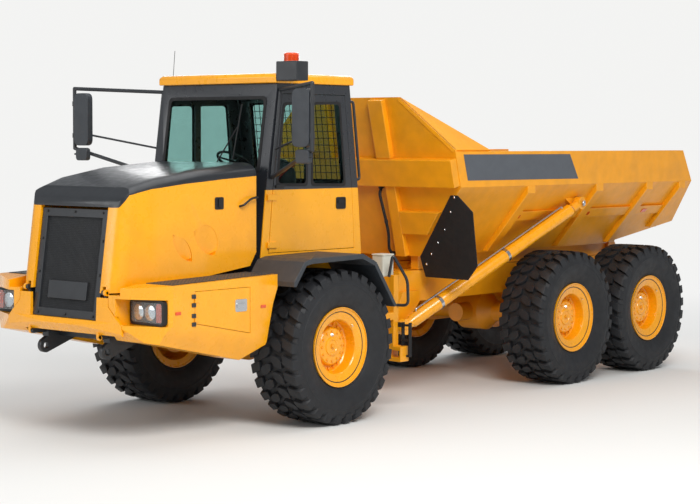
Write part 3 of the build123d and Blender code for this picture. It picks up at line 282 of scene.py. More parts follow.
def scratch(bm):
    mesh = bpy.data.meshes.new("scratch")
    bm.to_mesh(mesh)
    bm.free()
    obj = bpy.data.objects.new("scratch", mesh)
    bpy.context.scene.collection.objects.link(obj)
    return obj


def carved(bm, *tools, way="DIFFERENCE"):
    """The form with others taken away from it, or with only what it has in common with them."""
    objs = [scratch(bm)] + [scratch(tool) for tool in tools]
    for helper in objs[1:]:
        step = objs[0].modifiers.new("carve", "BOOLEAN")
        step.operation = way
        step.solver = "EXACT"
        step.object = helper
    graph = bpy.context.evaluated_depsgraph_get()
    mesh = bpy.data.meshes.new_from_object(objs[0].evaluated_get(graph))
    out = bmesh.new()
    out.from_mesh(mesh)
    for shape in [obj.data for obj in objs] + [mesh]:
        bpy.data.meshes.remove(shape)
    return out


def common(bm, *tools):
    return carved(bm, *tools, way="INTERSECT")


def around(steps):
    """Angles spread evenly round a full turn."""
    return [2 * math.pi * i / steps for i in range(steps)]


def frame_along(start, end):
    """A matrix whose Z runs from start towards end, placed at start."""
    along = (Vector(end) - Vector(start)).normalized()
    return Matrix.Translation(start) @ along.to_track_quat("Z", "Y").to_matrix().to_4x4()


def turned(profile, start, end, steps=48):
    """A profile of (distance along, radius) turned about the line from start to end, closed at its ends."""
    place = frame_along(start, end)
    return skin([[place @ Vector((r * math.cos(a), r * math.sin(a), d)) for a in around(steps)]
                 for d, r in profile])


def raised(profile, foot, steps=48):
    """A profile of (height, radius) turned about the upright line through foot."""
    return turned(profile, foot, Vector(foot) + UP, steps)


def rod(start, end, radius, steps=16):
    length = (Vector(end) - Vector(start)).length
    return turned([(0, radius), (length, radius)], start, end, steps)


def loop_turned(profile, start, end, steps=64):
    """A closed loop of (distance along, radius) turned about a line: a ring with a hole."""
    bm = bmesh.new()
    place = frame_along(start, end)
    rings = [[bm.verts.new(place @ Vector((r * math.cos(a), r * math.sin(a), d))) for d, r in profile]
             for a in around(steps)]
    for ring, following in zip(rings, rings[1:] + rings[:1]):
        for i in range(len(profile)):
            j = (i + 1) % len(profile)
            bm.faces.new((ring[i], ring[j], following[j], following[i]))
    bmesh.ops.recalc_face_normals(bm, faces=bm.faces)
    return bm


def bolt(place, outward, radius=0.012, height=0.010):
    """A hexagon head on its washer."""
    place = Vector(place)
    tip = place + Vector(outward).normalized()
    washer = turned([(-0.002, radius * 1.35), (0.003, radius * 1.35)], place, tip, 16)
    head = turned([(0.002, radius), (height, radius), (height + 0.002, radius * 0.85)], place, tip, 6)
    return joined(washer, head)


def bend(before, here, after, reach, steps):
    """Points round a corner, over a reach that is held within the two sides."""
    before, here, after = Vector(before), Vector(here), Vector(after)
    start, end = (here + (other - here).normalized() * limit for other, limit in zip((before, after), reach))
    return [start.lerp(here, k / steps).lerp(here.lerp(end, k / steps), k / steps) for k in range(steps + 1)]


def tube(points, radius, corner=0.05, steps=12):
    """A rigid bent tube: straight runs with rounded corners."""
    points = [Vector(p) for p in points]
    path = [points[0]]
    for before, here, after in zip(points, points[1:], points[2:]):
        reach = min(corner, (here - before).length / 2.1, (after - here).length / 2.1)
        path += bend(before, here, after, (reach, reach), 6)
    path.append(points[-1])
    rings = []
    normal = (path[1] - path[0]).orthogonal().normalized()
    for i, spot in enumerate(path):
        along = (path[min(i + 1, len(path) - 1)] - path[max(i - 1, 0)]).normalized()
        normal = (normal - along * normal.dot(along)).normalized()
        across = along.cross(normal)
        rings.append([spot + normal * (radius * math.cos(a)) + across * (radius * math.sin(a))
                      for a in around(steps)])
    return skin(rings)


def arc(start, middle, end, steps=10):
    """Points on the circle through three points of a plane, ends included."""
    (ax, ay), (bx, by), (cx, cy) = start, middle, end
    d = 2 * (ax * (by - cy) + bx * (cy - ay) + cx * (ay - by))
    squares = [x**2 + y**2 for x, y in (start, middle, end)]
    ux = (squares[0] * (by - cy) + squares[1] * (cy - ay) + squares[2] * (ay - by)) / d
    uy = (squares[0] * (cx - bx) + squares[1] * (ax - cx) + squares[2] * (bx - ax)) / d
    radius = math.hypot(ax - ux, ay - uy)
    first, mid, last = (math.atan2(y - uy, x - ux) for x, y in (start, middle, end))
    sweep = (last - first) % (2 * math.pi)
    if (mid - first) % (2 * math.pi) > sweep:
        sweep -= 2 * math.pi
    angles = [first + sweep * k / steps for k in range(steps + 1)]
    return [(ux + radius * math.cos(a), uy + radius * math.sin(a)) for a in angles]


def grown(points, amount):
    """A convex outline with its edges moved out by an amount."""
    edges = list(zip(points, points[1:] + points[:1]))
    hand = 1 if sum(a[0] * b[1] - b[0] * a[1] for a, b in edges) > 0 else -1
    lines = []
    for a, b in edges:
        length = math.hypot(b[0] - a[0], b[1] - a[1])
        nx, ny = hand * (b[1] - a[1]) / length, -hand * (b[0] - a[0]) / length
        lines.append((nx, ny, nx * a[0] + ny * a[1] + amount))
    out = []
    for (a, b, e), (c, d, f) in zip(lines[-1:] + lines[:-1], lines):
        det = a * d - b * c
        out.append(((e * d - b * f) / det, (a * f - e * c) / det))
    return out


def rounded(points, radius, steps=5):
    """An outline with its corners rounded."""
    out = []
    for before, here, after in zip(points[-1:] + points[:-1], points, points[1:] + points[:1]):
        reach = [min(radius, (Vector(other) - Vector(here)).length / 2.1) for other in (before, after)]
        out += [tuple(p) for p in bend(before, here, after, reach, steps)]
    return out


def rectangle(x, z, radius):
    return rounded(quad(x, z), radius)


def side_patch(y, z, half_y, half_z, radius, start, end):
    """A rounded plate on a side of the truck, from its centre and half sizes."""
    return prism(rectangle((y - half_y, y + half_y), (z - half_z, z + half_z), radius), "X", start, end)


def both_halves(points):
    """An outline from its half at +X."""
    return [*points, *[(-x, z) for x, z in reversed(points)]]


def seal(points, axis, start, end, out=0.018, inner=0.012):
    """A rubber frame round an opening."""
    loops = [rounded(grown(points, amount), 0.05) for amount in (out, -inner)]
    return carved(prism(loops[0], axis, start, end), prism(loops[1], axis, start - 0.02, end + 0.02))


def soften(obj, width, segments=2):
    edge = obj.modifiers.new("soft_edges", "BEVEL")
    edge.width = width
    edge.segments = segments
    edge.limit_method = "ANGLE"
    edge.angle_limit = math.radians(40)
    edge.harden_normals = True


def piece(name, body, finish, bm, stands_for=(), angle=35, bevel=0.0, segments=2):
    """A shown piece: it rides on a body, may have softened edges, and may stand for CAD nodes."""
    bmesh.ops.remove_doubles(bm, verts=bm.verts, dist=0.00002)
    mesh = bpy.data.meshes.new(name)
    bm.to_mesh(mesh)
    bm.free()
    obj = bpy.data.objects.new(name, mesh)
    mesh.materials.append(finish)
    bpy.context.scene.collection.objects.link(obj)
    mesh.shade_smooth()
    mesh.set_sharp_from_angle(angle=math.radians(angle))
    if bevel:
        soften(obj, bevel, segments)
    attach(obj, body)
    if stands_for:
        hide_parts(*stands_for)
    return obj


def from_front(points):
    """Side-view points (y, z) given from the centre of the front axle."""
    return [(FRONT_AXLE_Y + y, AXLE_Z + z) for y, z in points]


def at(x, y, z):
    """A point given from the centre of the front axle."""
    return Vector((x, FRONT_AXLE_Y + y, AXLE_Z + z))


# CAD nodes that stay get softened edges
for name in ("cab_shell", "cab_door", "cab_roof", "dump_bed", "rear_chassis", "front_chassis", "cab_steps",
             "walking_beams", "articulation_yoke", "mudguards", "engine", "radiator"):
    weld = nodes[name].modifiers.new("weld", "WELD")
    weld.merge_threshold = 0.00002
    soften(nodes[name], 0.012 if name == "cab_roof" else 0.006)


# Wheels: lugged tyres, deep rims and bolted hubs
LUGS = 29
TYRE_RADIUS = 0.782
CARCASS = [(0.226, 0.350), (0.228, 0.400), (0.244, 0.425), (0.244, 0.437), (0.250, 0.437), (0.268, 0.475),
           (0.288, 0.530), (0.297, 0.580), (0.299, 0.622), (0.302, 0.626), (0.302, 0.636), (0.299, 0.640),
           (0.297, 0.660), (0.290, 0.696), (0.291, 0.704), (0.276, 0.722), (0.255, 0.738), (0.200, 0.743),
           (0.0, 0.746)]
BEAD_SEAT = [(-0.205, 0.352), (0.205, 0.352)]
TREAD_SWEEP = 0.42
LUG_DRAFT = 0.006
SHOULDER_LUG = [  # (x, top radius, foot radius, half width along the tread)
    (0.152, 0.781, 0.738, 0.036), (0.170, 0.782, 0.738, 0.048), (0.262, 0.777, 0.730, 0.050),
    (0.286, 0.766, 0.715, 0.050), (0.298, 0.712, 0.675, 0.046),
]
CENTRE_LUG = [(0.012, 0.782, 0.738, 0.030), (0.048, 0.782, 0.738, 0.052), (0.104, 0.782, 0.738, 0.052),
              (0.142, 0.782, 0.738, 0.030)]
RIM = [(0.250, 0.396), (0.238, 0.393), (0.232, 0.374), (0.226, 0.360), (0.205, 0.280), (0.195, 0.270),
       (0.086, 0.264), (0.074, 0.252), (0.072, 0.150), (0.052, 0.150), (0.050, 0.300), (-0.222, 0.322),
       (-0.236, 0.385), (-0.250, 0.396), (-0.250, 0.403), (-0.229, 0.400), (-0.220, 0.352), (0.220, 0.352),
       (0.229, 0.400), (0.250, 0.403)]
HUB = [(0.060, 0.202), (0.078, 0.202), (0.084, 0.196), (0.112, 0.190), (0.125, 0.176), (0.126, 0.098),
       (0.136, 0.092), (0.139, 0.066), (0.132, 0.060), (0.132, 0.001)]
WHEEL_NUTS = 20
COVER_BOLTS = 12
HUB_LINE = ((0, 0, 0), (1, 0, 0))
OUTWARD = (1, 0, 0)


def tread_spot(x, radius, along):
    """A point of the tread; along is the distance round it, forward over the top."""
    a = along / TYRE_RADIUS
    return (x, -radius * math.sin(a), radius * math.cos(a))


def lug(stations, hand, along):
    sections = []
    for x, top, foot, half in stations:
        middle = along + TREAD_SWEEP * x
        edges = ((top, -half), (top, half), (foot, half + LUG_DRAFT), (foot, -half - LUG_DRAFT))
        sections.append([tread_spot(hand * x, radius, middle + shift) for radius, shift in edges])
    return skin(sections)


def tyre_form():
    section = [*CARCASS, *[(-x, r) for x, r in reversed(CARCASS[:-1])], *BEAD_SEAT]
    parts = [loop_turned(section, *HUB_LINE, 96)]
    pitch = 2 * math.pi * TYRE_RADIUS / LUGS
    for hand in (-1, 1):
        for index in range(LUGS):
            along = (index + hand / 4) * pitch
            parts.append(lug(SHOULDER_LUG, hand, along))
            parts.append(lug(CENTRE_LUG, hand, along + 0.38 * pitch))
    return joined(*parts)


def ring_of_bolts(count, radius, x, size, height):
    return joined(*[bolt((x, radius * math.cos(a), radius * math.sin(a)), OUTWARD, size, height)
                    for a in around(count)])


def wheels():
    """Each form is drawn about the centre of a left wheel, with its outer face at +X."""
    nuts = joined(ring_of_bolts(WHEEL_NUTS, 0.228, 0.072, 0.013, 0.018),
                  ring_of_bolts(COVER_BOLTS, 0.150, 0.125, 0.011, 0.010),
                  bolt((0.138, 0, 0), OUTWARD, 0.018, 0.012))
    valve = joined(rod((0.20, 0.20, 0.22), (0.245, 0.185, 0.20), 0.006, 10),
                   bolt((0.126, 0.0, 0.118), OUTWARD, 0.013, 0.014))
    forms = [  # name, finish, form, the CAD node it stands for, angle of sharp edges, bevel
        ("lugged_tyre", TYRE, tyre_form(), "tyre", 28, 0.004),
        ("deep_rim", YELLOW, loop_turned(RIM, *HUB_LINE, 96), "rim", 25, 0.0),
        ("hub", YELLOW, turned(HUB, *HUB_LINE, 72), None, 25, 0.0),
        ("wheel_nuts", YELLOW_WORK, nuts, None, 35, 0.0),
        ("valve", CHROME, valve, None, 35, 0.0),
    ]
    for axle, axle_y in (("front", FRONT_AXLE_Y), ("mid", MID_AXLE_Y), ("rear", REAR_AXLE_Y)):
        for side_name, side in SIDES.items():
            corner = f"{axle}_{side_name}"
            for name, finish, form, node, angle, bevel in forms:
                placed = handed(form.copy(), side)
                bmesh.ops.translate(placed, vec=(side * TRACK_HALF, axle_y, AXLE_Z), verts=placed.verts)
                stands_for = [f"{corner}_{node}"] if node else ()
                piece(f"{corner}_{name}", f"{corner}_wheel", finish, placed, stands_for, angle=angle,
                      bevel=bevel, segments=1)


wheels()


# Nose: bulged yellow centre, leaning grille with fine wires, and its bolts
AHEAD = NOSE_Y - 0.1
NOSE_BOTTOM = AXLE_Z + 0.248
NOSE_TOP = AXLE_Z + 0.600
BUMPER_DEPTH = 0.075
BUMPER_BACK = NOSE_Y + BUMPER_DEPTH
BUMPER = [(0.820, NOSE_BOTTOM), (0.820, AXLE_Z + 0.348), (0.638, AXLE_Z + 0.520), (0.638, NOSE_TOP)]
BUMPER_SIDE = [(BUMPER_BACK, NOSE_TOP), (NOSE_Y + 0.050, NOSE_TOP), (NOSE_Y + 0.038, AXLE_Z + 0.378),
               (NOSE_Y, AXLE_Z + 0.330), (NOSE_Y + 0.065, NOSE_BOTTOM), (BUMPER_BACK, NOSE_BOTTOM)]
NOSE_LUG_X = (0.480, 0.510)
POD_FACE = NOSE_Y + 0.048
GRILLE_HALF = 0.477
GRILLE_FOOT = AXLE_Z + 0.378
GRILLE_TOP = AXLE_Z + 1.416
GRILLE_FACE_Y = FRONT_AXLE_Y - 2.384
GRILLE_DEPTH = 0.040
GRILLE_BORDER = 0.080
GRILLE_PITCH = 0.0165
GRILLE_WIRE = 0.0022
WIRE_SINK = 0.016
LEAN = 0.1417


def bumper_face(gap=0.0):
    return grown(both_halves(BUMPER), gap)


def nose():
    edge = 0.820
    bulge = [*arc((-edge, POD_FACE), (0, NOSE_Y), (edge, POD_FACE), 24), (edge, BUMPER_BACK),
             (-edge, BUMPER_BACK)]
    centre = common(prism(bumper_face(), "Y", NOSE_Y, BUMPER_BACK), prism(BUMPER_SIDE, "X", -0.85, 0.85),
                    prism(bulge, "Z", NOSE_BOTTOM, NOSE_TOP))
    room = GRILLE_HALF + 0.001
    centre = carved(centre, block((-room, room), (NOSE_Y - 0.01, NOSE_Y + 0.1),
                                  (GRILLE_FOOT - 0.001, NOSE_TOP + 0.01)))
    low = NOSE_BOTTOM - 0.030
    hinge = joined(block(NOSE_LUG_X, (NOSE_Y + 0.040, BUMPER_BACK), (low, NOSE_BOTTOM + 0.040)),
                   rod(*[(x, NOSE_Y + 0.065, low) for x in NOSE_LUG_X], 0.025))
    piece("nose_centre", "nose_panel", YELLOW, joined(centre, mirrored(hinge)), ["nose_bumper"], bevel=0.006,
          segments=3)


def grille_spot(x, z, out=0.0):
    """A point on the grille's leaning face; out is the distance in front of it."""
    return Vector((x, GRILLE_FACE_Y + LEAN * (z - GRILLE_FOOT) - out, z))


def grille_plate(x, z, out, thickness):
    """A plate on the leaning face, from its ranges of x and z."""
    face = [grille_spot(*corner, out) for corner in quad(x, z)]
    return skin([face, [p + Vector((0, thickness, 0)) for p in face]])


def spread(low, high, pitch):
    """Levels spread evenly from low to high, about a pitch apart."""
    count = int((high - low) / pitch)
    return [low + (high - low) * k / count for k in range(count + 1)]


def grille():
    rise = LEAN * (GRILLE_TOP - GRILLE_FOOT)
    back = GRILLE_FACE_Y + GRILLE_DEPTH
    outline = [(GRILLE_FACE_Y, GRILLE_FOOT), (GRILLE_FACE_Y + rise, GRILLE_TOP), (back + rise, GRILLE_TOP),
               (back, GRILLE_FOOT)]
    half = GRILLE_HALF - GRILLE_BORDER
    low, high = GRILLE_FOOT + GRILLE_BORDER, GRILLE_TOP - GRILLE_BORDER
    surround = carved(prism(outline, "X", -GRILLE_HALF, GRILLE_HALF),
                      block((-half, half), (AHEAD, NOSE_Y + 0.6), (low, high)))
    piece("grille_surround", "nose_panel", DARK_GLOSS, surround, ["grille_frame"], bevel=0.005, segments=3)
    wires = [rod(*[grille_spot(x, z, -WIRE_SINK) for z in (low - 0.01, high + 0.01)], GRILLE_WIRE, 6)
             for x in spread(-half, half, GRILLE_PITCH)]
    wires += [rod(*[grille_spot(x, z, -WIRE_SINK - 0.004) for x in (-half - 0.01, half + 0.01)],
                  GRILLE_WIRE, 6) for z in spread(low, high, GRILLE_PITCH)]
    piece("grille_wires", "nose_panel", DARK_PAINT, joined(*wires))
    # A solid black sheet just behind the wires: painted shade for the space behind the grille, where the dark
    # radiator sits in shadow.
    shade_sheet = grille_plate((-half - 0.02, half + 0.02), (low - 0.02, high + 0.02), -WIRE_SINK - 0.012, 0.004)
    piece("grille_shade_sheet", "nose_panel", BLACK, shade_sheet)
    bare = grille_plate((-0.28, 0.28), (AXLE_Z + 0.555, AXLE_Z + 0.725), 0.004, 0.018)
    piece("grille_bare_plate", "nose_panel", DARK_GLOSS, bare, bevel=0.004)
    heads = [(x, z) for z in (1.385, 0.410) for x in (-0.40, 0.0, 0.40)]
    heads += [(x, z) for x in (-0.437, 0.437) for z in (1.12, 0.80)]
    bolts = [bolt(grille_spot(x, AXLE_Z + z), (0, -1, LEAN), 0.011, 0.009) for x, z in heads]
    piece("grille_bolts", "nose_panel", BLACK, joined(*bolts))


nose()
grille()


# Fenders: swept lamp pods, decks, service doors and the lamps
FENDER_HALF = 1.250
FENDER_INNER = 0.820
FENDER_REAR = FRONT_AXLE_Y - 0.745
POD_INNER = 0.644
POD_REAR = FRONT_AXLE_Y - 2.190
DECK = from_front([(-2.190, 0.729), (-0.745, 0.767)])
FENDER_SIDE = [*from_front([(-2.300, 0.201), (-2.402, 0.330), (-2.402, 0.700)]), *DECK,
               *from_front([(-0.745, 0.640), (-0.810, 0.480), (-0.908, 0.087), (-1.174, -0.046)])]
POD_PLAN = [(POD_INNER, POD_FACE), (0.820, POD_FACE), (1.200, FRONT_AXLE_Y - 2.215),
            (FENDER_HALF, FRONT_AXLE_Y - 2.150), (FENDER_HALF, FENDER_REAR), (FENDER_INNER, FENDER_REAR),
            (FENDER_INNER, POD_REAR), (POD_INNER, POD_REAR)]
FENDER_ROOM = from_front([(-2.130, 0.370), (-2.130, 0.700), (-0.775, 0.736), (-0.775, 0.645), (-0.840, 0.480),
                          (-0.925, 0.130)])
FENDER_ROOM_X = (0.850, 1.220)
CHAMFER = (0.130, 0.260)
DOOR_OUTLINE = from_front([(-1.869, 0.366), (-1.869, 0.663), (-1.132, 0.663), (-1.132, 0.222)])
LAMP_Y = FRONT_AXLE_Y - 2.185
LAMP_FACE = LAMP_Y - 0.055
LAMP_X = (0.760, 1.212)
LAMP_Z = (AXLE_Z + 0.360, AXLE_Z + 0.596)
LAMP_BORDER = 0.024
HINGE_LEVELS = (AXLE_Z + 0.400, AXLE_Z + 0.580)
HINGE = (FENDER_HALF + 0.008, DOOR_OUTLINE[0][0] - 0.004)
HINGE_LEAF = (FENDER_HALF - 0.002, HINGE[0])
STUD_PITCH = (0.043, 0.0475)


def chamfer():
    """What is cut off along the foot of the fender's outer side."""
    sections = []
    for y in (AHEAD, NOSE_Y + 2.4):
        top = AXLE_Z + 0.429 - 0.205 * (y - NOSE_Y)
        foot = top - CHAMFER[1]
        outline = [(FENDER_HALF, top), (FENDER_HALF - CHAMFER[0], foot), (1.300, foot), (1.300, top)]
        sections.append([(x, y, z) for x, z in outline])
    return skin(sections)


def fender():
    form = common(prism(FENDER_SIDE, "X", POD_INNER, FENDER_HALF), prism(POD_PLAN, "Z", 0.3, 1.7))
    outer = LAMP_X[1] + 0.010
    pocket = [(LAMP_X[0] - 0.035, AHEAD), (LAMP_X[0] - 0.005, LAMP_Y), (outer, LAMP_Y), (outer, AHEAD)]
    return carved(form, prism(FENDER_ROOM, "X", *FENDER_ROOM_X), chamfer(),
                  block((0.0, 0.806), (AHEAD, FRONT_AXLE_Y), (AXLE_Z + 0.630, 1.7)),
                  prism(bumper_face(0.006), "Y", AHEAD, BUMPER_BACK + 0.010),
                  prism(pocket, "Z", LAMP_Z[0] - 0.005, LAMP_Z[1] + 0.005),
                  prism(grown(DOOR_OUTLINE, 0.004), "X", 1.2, 1.3))


def headlamps():
    inside = rectangle([LAMP_X[0] + LAMP_BORDER, LAMP_X[1] - LAMP_BORDER],
                       [LAMP_Z[0] + LAMP_BORDER, LAMP_Z[1] - LAMP_BORDER], 0.03)
    housing = carved(prism(rectangle(LAMP_X, LAMP_Z, 0.045), "Y", LAMP_FACE, LAMP_Y),
                     prism(inside, "Y", LAMP_FACE - 0.01, LAMP_FACE + 0.040))
    piece("lamp_housings", "front_frame", BLACK, mirrored(housing), bevel=0.003)
    bowl = [(0.0, 0.070), (0.003, 0.074), (0.026, 0.052), (0.032, 0.020), (0.020, 0.012), (0.018, 0.002)]
    spots = [Vector((x, LAMP_FACE + 0.006, sum(LAMP_Z) / 2)) for x in (0.866, 1.025)]
    bowls = [turned(bowl, spot, spot + Vector((0, 1, 0)), 32) for spot in spots]
    piece("lamp_bowls", "front_frame", CHROME, mirrored(*bowls), angle=50)
    amber = prism(rectangle((1.112, 1.182), (LAMP_Z[0] + 0.030, LAMP_Z[1] - 0.030), 0.015), "Y",
                  LAMP_FACE + 0.004, LAMP_FACE + 0.030)
    piece("lamp_indicators", "front_frame", AMBER, mirrored(amber), bevel=0.003)
    glass = prism(inside, "Y", LAMP_FACE + 0.0005, LAMP_FACE + 0.003)
    piece("lamp_glasses", "front_frame", LENS, mirrored(glass))


def hinge_line(middle, half, radius):
    """A round stretch of the service door's hinge, from its middle's height."""
    return rod((*HINGE, middle - half), (*HINGE, middle + half), radius, 14)


def service_hinges():
    parts = []
    for level in HINGE_LEVELS:
        parts.append(rod((*HINGE, level - 0.050), (*HINGE, level + 0.050), 0.005, 12))
        for z in (level - 0.040, level + 0.040):
            parts.append(hinge_line(z, 0.019, 0.0075))
            parts.append(block(HINGE_LEAF, (HINGE[1] - 0.040, HINGE[1]), (z - 0.019, z + 0.019)))
    piece("service_hinges", "front_frame", DARK_PLASTIC, mirrored(*parts))


def service_doors():
    half = 0.0205
    for side_name, side in SIDES.items():
        body = f"service_door_{side_name}"
        parts = [prism(DOOR_OUTLINE, "X", FENDER_ROOM_X[1], FENDER_HALF)]
        for level in HINGE_LEVELS:
            parts.append(hinge_line(level, half, 0.0076))
            parts.append(block(HINGE_LEAF, (HINGE[1], HINGE[1] + 0.050), (level - half, level + half)))
        piece(f"{body}_panel", body, YELLOW, handed(joined(*parts), side), [body], bevel=0.004)
        y, z = FRONT_AXLE_Y - 1.255, AXLE_Z + 0.496
        latch = joined(side_patch(y, z, 0.080, 0.060, 0.02, 1.2495, 1.253),
                       side_patch(y - 0.005, z, 0.055, 0.022, 0.012, 1.252, 1.262))
        piece(f"{body}_latch", body, STEEL, handed(latch, side), bevel=0.002)


def decks():
    """Non-slip plates on the fenders' decks, and orange reflectors on their sides."""
    (front_y, front_z), (rear_y, rear_z) = DECK
    slope = (rear_z - front_z) / (rear_y - front_y)
    foot_y = front_y + 0.09
    line = [(y, front_z + 0.0005 + slope * (y - front_y)) for y in (foot_y, rear_y - 0.03)]
    plate = prism([*line, *[(y, z + 0.006) for y, z in reversed(line)]], "X", 0.835, 1.190)
    studs = []
    for row in range(8):
        for column in range(28):
            run = 0.03 + column * STUD_PITCH[1]
            spot = (0.862 + row * STUD_PITCH[0], foot_y + run, line[0][1] + 0.005 + slope * run)
            studs.append(raised([(0, 0.010), (0.003, 0.007)], spot, 8))
    piece("deck_plates", "front_frame", DARK_PLASTIC, mirrored(plate, *studs))
    reflectors = [side_patch(y, z, 0.035, 0.015, 0.006, FENDER_HALF - 0.001, FENDER_HALF + 0.007)
                  for y, z in from_front([(-2.090, 0.475), (-0.950, 0.466)])]
    piece("fender_reflectors", "front_frame", AMBER, mirrored(*reflectors), bevel=0.002)


piece("fender_shells", "front_frame", YELLOW, mirrored(fender()), ["fenders", "nose_corners"], bevel=0.007,
      segments=3)
service_hinges()
headlamps()
decks()
service_doors()


# Hood: a crowned shell on swept sides, with a dark top
HOOD_HALF = 0.800
HOOD_NOSE_HALF = 0.700
HOOD_WALL = 0.045
HOOD_SHOULDER = 0.170
HOOD_FOOT = 0.500
HOOD_FRONT = FRONT_AXLE_Y - 2.389
HOOD_BEND = 0.150
HOOD_SECTIONS = [  # (y from the front axle, half width, shoulder height, crown height above the axle)
    (-2.420, HOOD_NOSE_HALF, 1.440, 1.530), (-2.070, HOOD_NOSE_HALF, 1.572, 1.645),
    (-1.850, 0.752, 1.620, 1.706), (-1.300, HOOD_HALF, 1.698, 1.793), (-0.575, HOOD_HALF, 1.735, 1.850),
]
HOOD_TRIM = from_front([(-2.420, 0.640), (-2.420, 1.380), (-2.262, 1.440), (-2.215, 1.530), (-2.130, 1.612),
                        (-2.000, 1.900), (-0.575, 1.900), (-0.575, 0.959), (-0.664, 0.823), (-1.628, 0.709),
                        (-2.369, 0.640)])
HOOD_ROOM = from_front([(-2.390, 0.400), (-2.390, 1.340), (-2.225, 1.400), (-2.180, 1.480), (-2.100, 1.560),
                        (-1.970, 1.860), (-0.500, 1.860), (-0.500, 0.400)])
TOP_SPLIT = from_front([(-2.500, 1.400), (-2.240, 1.440), (-2.165, 1.555), (-1.933, 1.609), (-1.545, 1.653),
                        (-1.059, 1.690), (-0.500, 1.722), (-0.500, 2.000), (-2.500, 2.000)])
SCOOPS = [  # side-view crescents (start, front of the arc, end, back of the arc) and the X of their deep edge
    (from_front([(-1.691, 1.171), (-1.659, 1.036), (-1.457, 0.905), (-1.506, 1.078)]), 0.742),
    (from_front([(-1.435, 1.193), (-1.392, 1.073), (-1.164, 0.956), (-1.126, 1.120)]), 0.762),
]
SCOOP_DEPTH = 0.034
QUARTER = [math.pi / 2 * k / 8 for k in range(9)]


def hood_form(inset):
    """The hood's closed outer form, or its inside, which lies a wall's thickness further in."""
    over = 0.015 if inset else 0.0
    foot = AXLE_Z + HOOD_FOOT - over
    sections = []
    for y, half, shoulder, crown in HOOD_SECTIONS:
        edge, low, high = half - inset, AXLE_Z + shoulder - inset, AXLE_Z + crown - inset
        flat = half - HOOD_SHOULDER
        corner = [(flat + (edge - flat) * math.cos(a), low + (high - low) * math.sin(a)) for a in QUARTER]
        sections.append([(x, FRONT_AXLE_Y + y + over, z) for x, z in both_halves([(edge, foot), *corner])])
    front = HOOD_FRONT + inset
    radius = HOOD_BEND - inset
    middle = HOOD_NOSE_HALF - inset - radius
    plan = both_halves([(middle + radius * math.cos(a), front + radius - radius * math.sin(a))
                        for a in QUARTER])
    plan += [(-1.2, front + radius), (-1.2, front + 3), (1.2, front + 3), (1.2, front + radius)]
    cutter = skin([[(x, y + LEAN * (z - AXLE_Z - HOOD_FOOT), z) for x, y in plan]
                   for z in (foot, foot + 1.6)])
    return common(skin(sections), cutter)


def scoop_cutter(scoop, deep_x):
    """A crescent that is deep along its front arc and runs out to the hood's side at its back."""
    start, front, end, back = scoop
    deep, shallow = arc(start, front, end, 12), arc(end, back, start, 12)[1:-1]
    floor = [(deep_x, y, z) for y, z in deep] + [(deep_x + SCOOP_DEPTH, y, z) for y, z in shallow]
    cutter = skin([floor, [(0.9, y, z) for _, y, z in floor]])
    bmesh.ops.triangulate(cutter, faces=cutter.faces)
    return cutter


def hood():
    outer = common(hood_form(0.0), prism(HOOD_TRIM, "X", -0.83, 0.83))
    shell = carved(outer, common(hood_form(HOOD_WALL), prism(HOOD_ROOM, "X", -0.83, 0.83)))
    room = GRILLE_HALF + 0.010
    cuts = [block((-room, room), (AHEAD, FRONT_AXLE_Y - 2.120), (AXLE_Z, AXLE_Z + 1.440))]
    for side in (-1, 1):
        cuts += [handed(scoop_cutter(scoop, deep_x), side) for scoop, deep_x in SCOOPS]
        cuts.append(handed(block((0.520, 0.565), (AHEAD, NOSE_Y + 0.20), (NOSE_TOP, NOSE_TOP + 0.100)), side))
    shell = carved(shell, *cuts)
    top = common(shell.copy(), prism(TOP_SPLIT, "X", -1, 1))
    sides = carved(shell, prism(TOP_SPLIT, "X", -1, 1))
    hinge = rod(*[(x, NOSE_Y + 0.080, NOSE_TOP + 0.045) for x in (0.565, 0.595)], 0.030)
    piece("hood_swept_sides", "hood", YELLOW, joined(sides, mirrored(hinge)), ["hood_sides"], angle=30,
          bevel=0.005)
    piece("hood_crown", "hood", DARK_GLOSS, top, ["hood_top"], angle=30, bevel=0.004)
    y, z = FRONT_AXLE_Y - 1.100, AXLE_Z + 1.458
    latch = joined(side_patch(y, z, 0.060, 0.060, 0.02, 0.799, 0.808),
                   side_patch(y, z + 0.0025, 0.020, 0.0425, 0.012, 0.807, 0.820))
    piece("hood_latches", "hood", BLACK, mirrored(latch), bevel=0.003)
    grab = tube([at(0.800, -0.815, 1.420), at(0.845, -0.800, 1.432), at(0.850, -0.690, 1.500),
                 at(0.845, -0.590, 1.505), at(0.800, -0.580, 1.505)], 0.011, 0.04)
    piece("hood_grabs", "hood", BLACK, mirrored(grab))


hood()


# Cab: window seals, wiper, door handle, hinge cover, rear guard and handrail
CAB_HALF = 0.830
CAB_SIDE = from_front([(-0.464, 1.578), (-0.300, 2.648), (0.813, 2.648), (0.954, 1.561)])
CAB_FRONT = CAB_SIDE[:2]
CAB_REAR = CAB_SIDE[2:]
SIDE_WINDOWS = [from_front([(-0.303, 1.630), (-0.200, 2.440), (0.140, 2.450), (0.140, 1.620)]),
                from_front([(0.225, 1.620), (0.225, 2.450), (0.650, 2.460), (0.735, 1.610)])]
FRONT_WINDOW_Z = (AXLE_Z + 1.770, AXLE_Z + 2.500)
REAR_WINDOW_Z = (AXLE_Z + 1.640, AXLE_Z + 2.480)


def cab_edge(points, z):
    """Y at height z on a leaning edge of the cab's side view."""
    (start_y, start_z), (end_y, end_z) = points
    return start_y + (end_y - start_y) * (z - start_z) / (end_z - start_z)


def cab_spot(edge, x, z, out):
    """A point at a leaning edge of the cab, behind it by a distance; z is the height above the axle."""
    return (x, cab_edge(edge, AXLE_Z + z) + out, AXLE_Z + z)


def leaning(points, edge, out, thickness):
    """A plate on the cab's leaning front or rear, from its (x, z) outline."""
    return skin([[(x, cab_edge(edge, z) + offset, z) for x, z in points]
                 for offset in (out, out + thickness)])


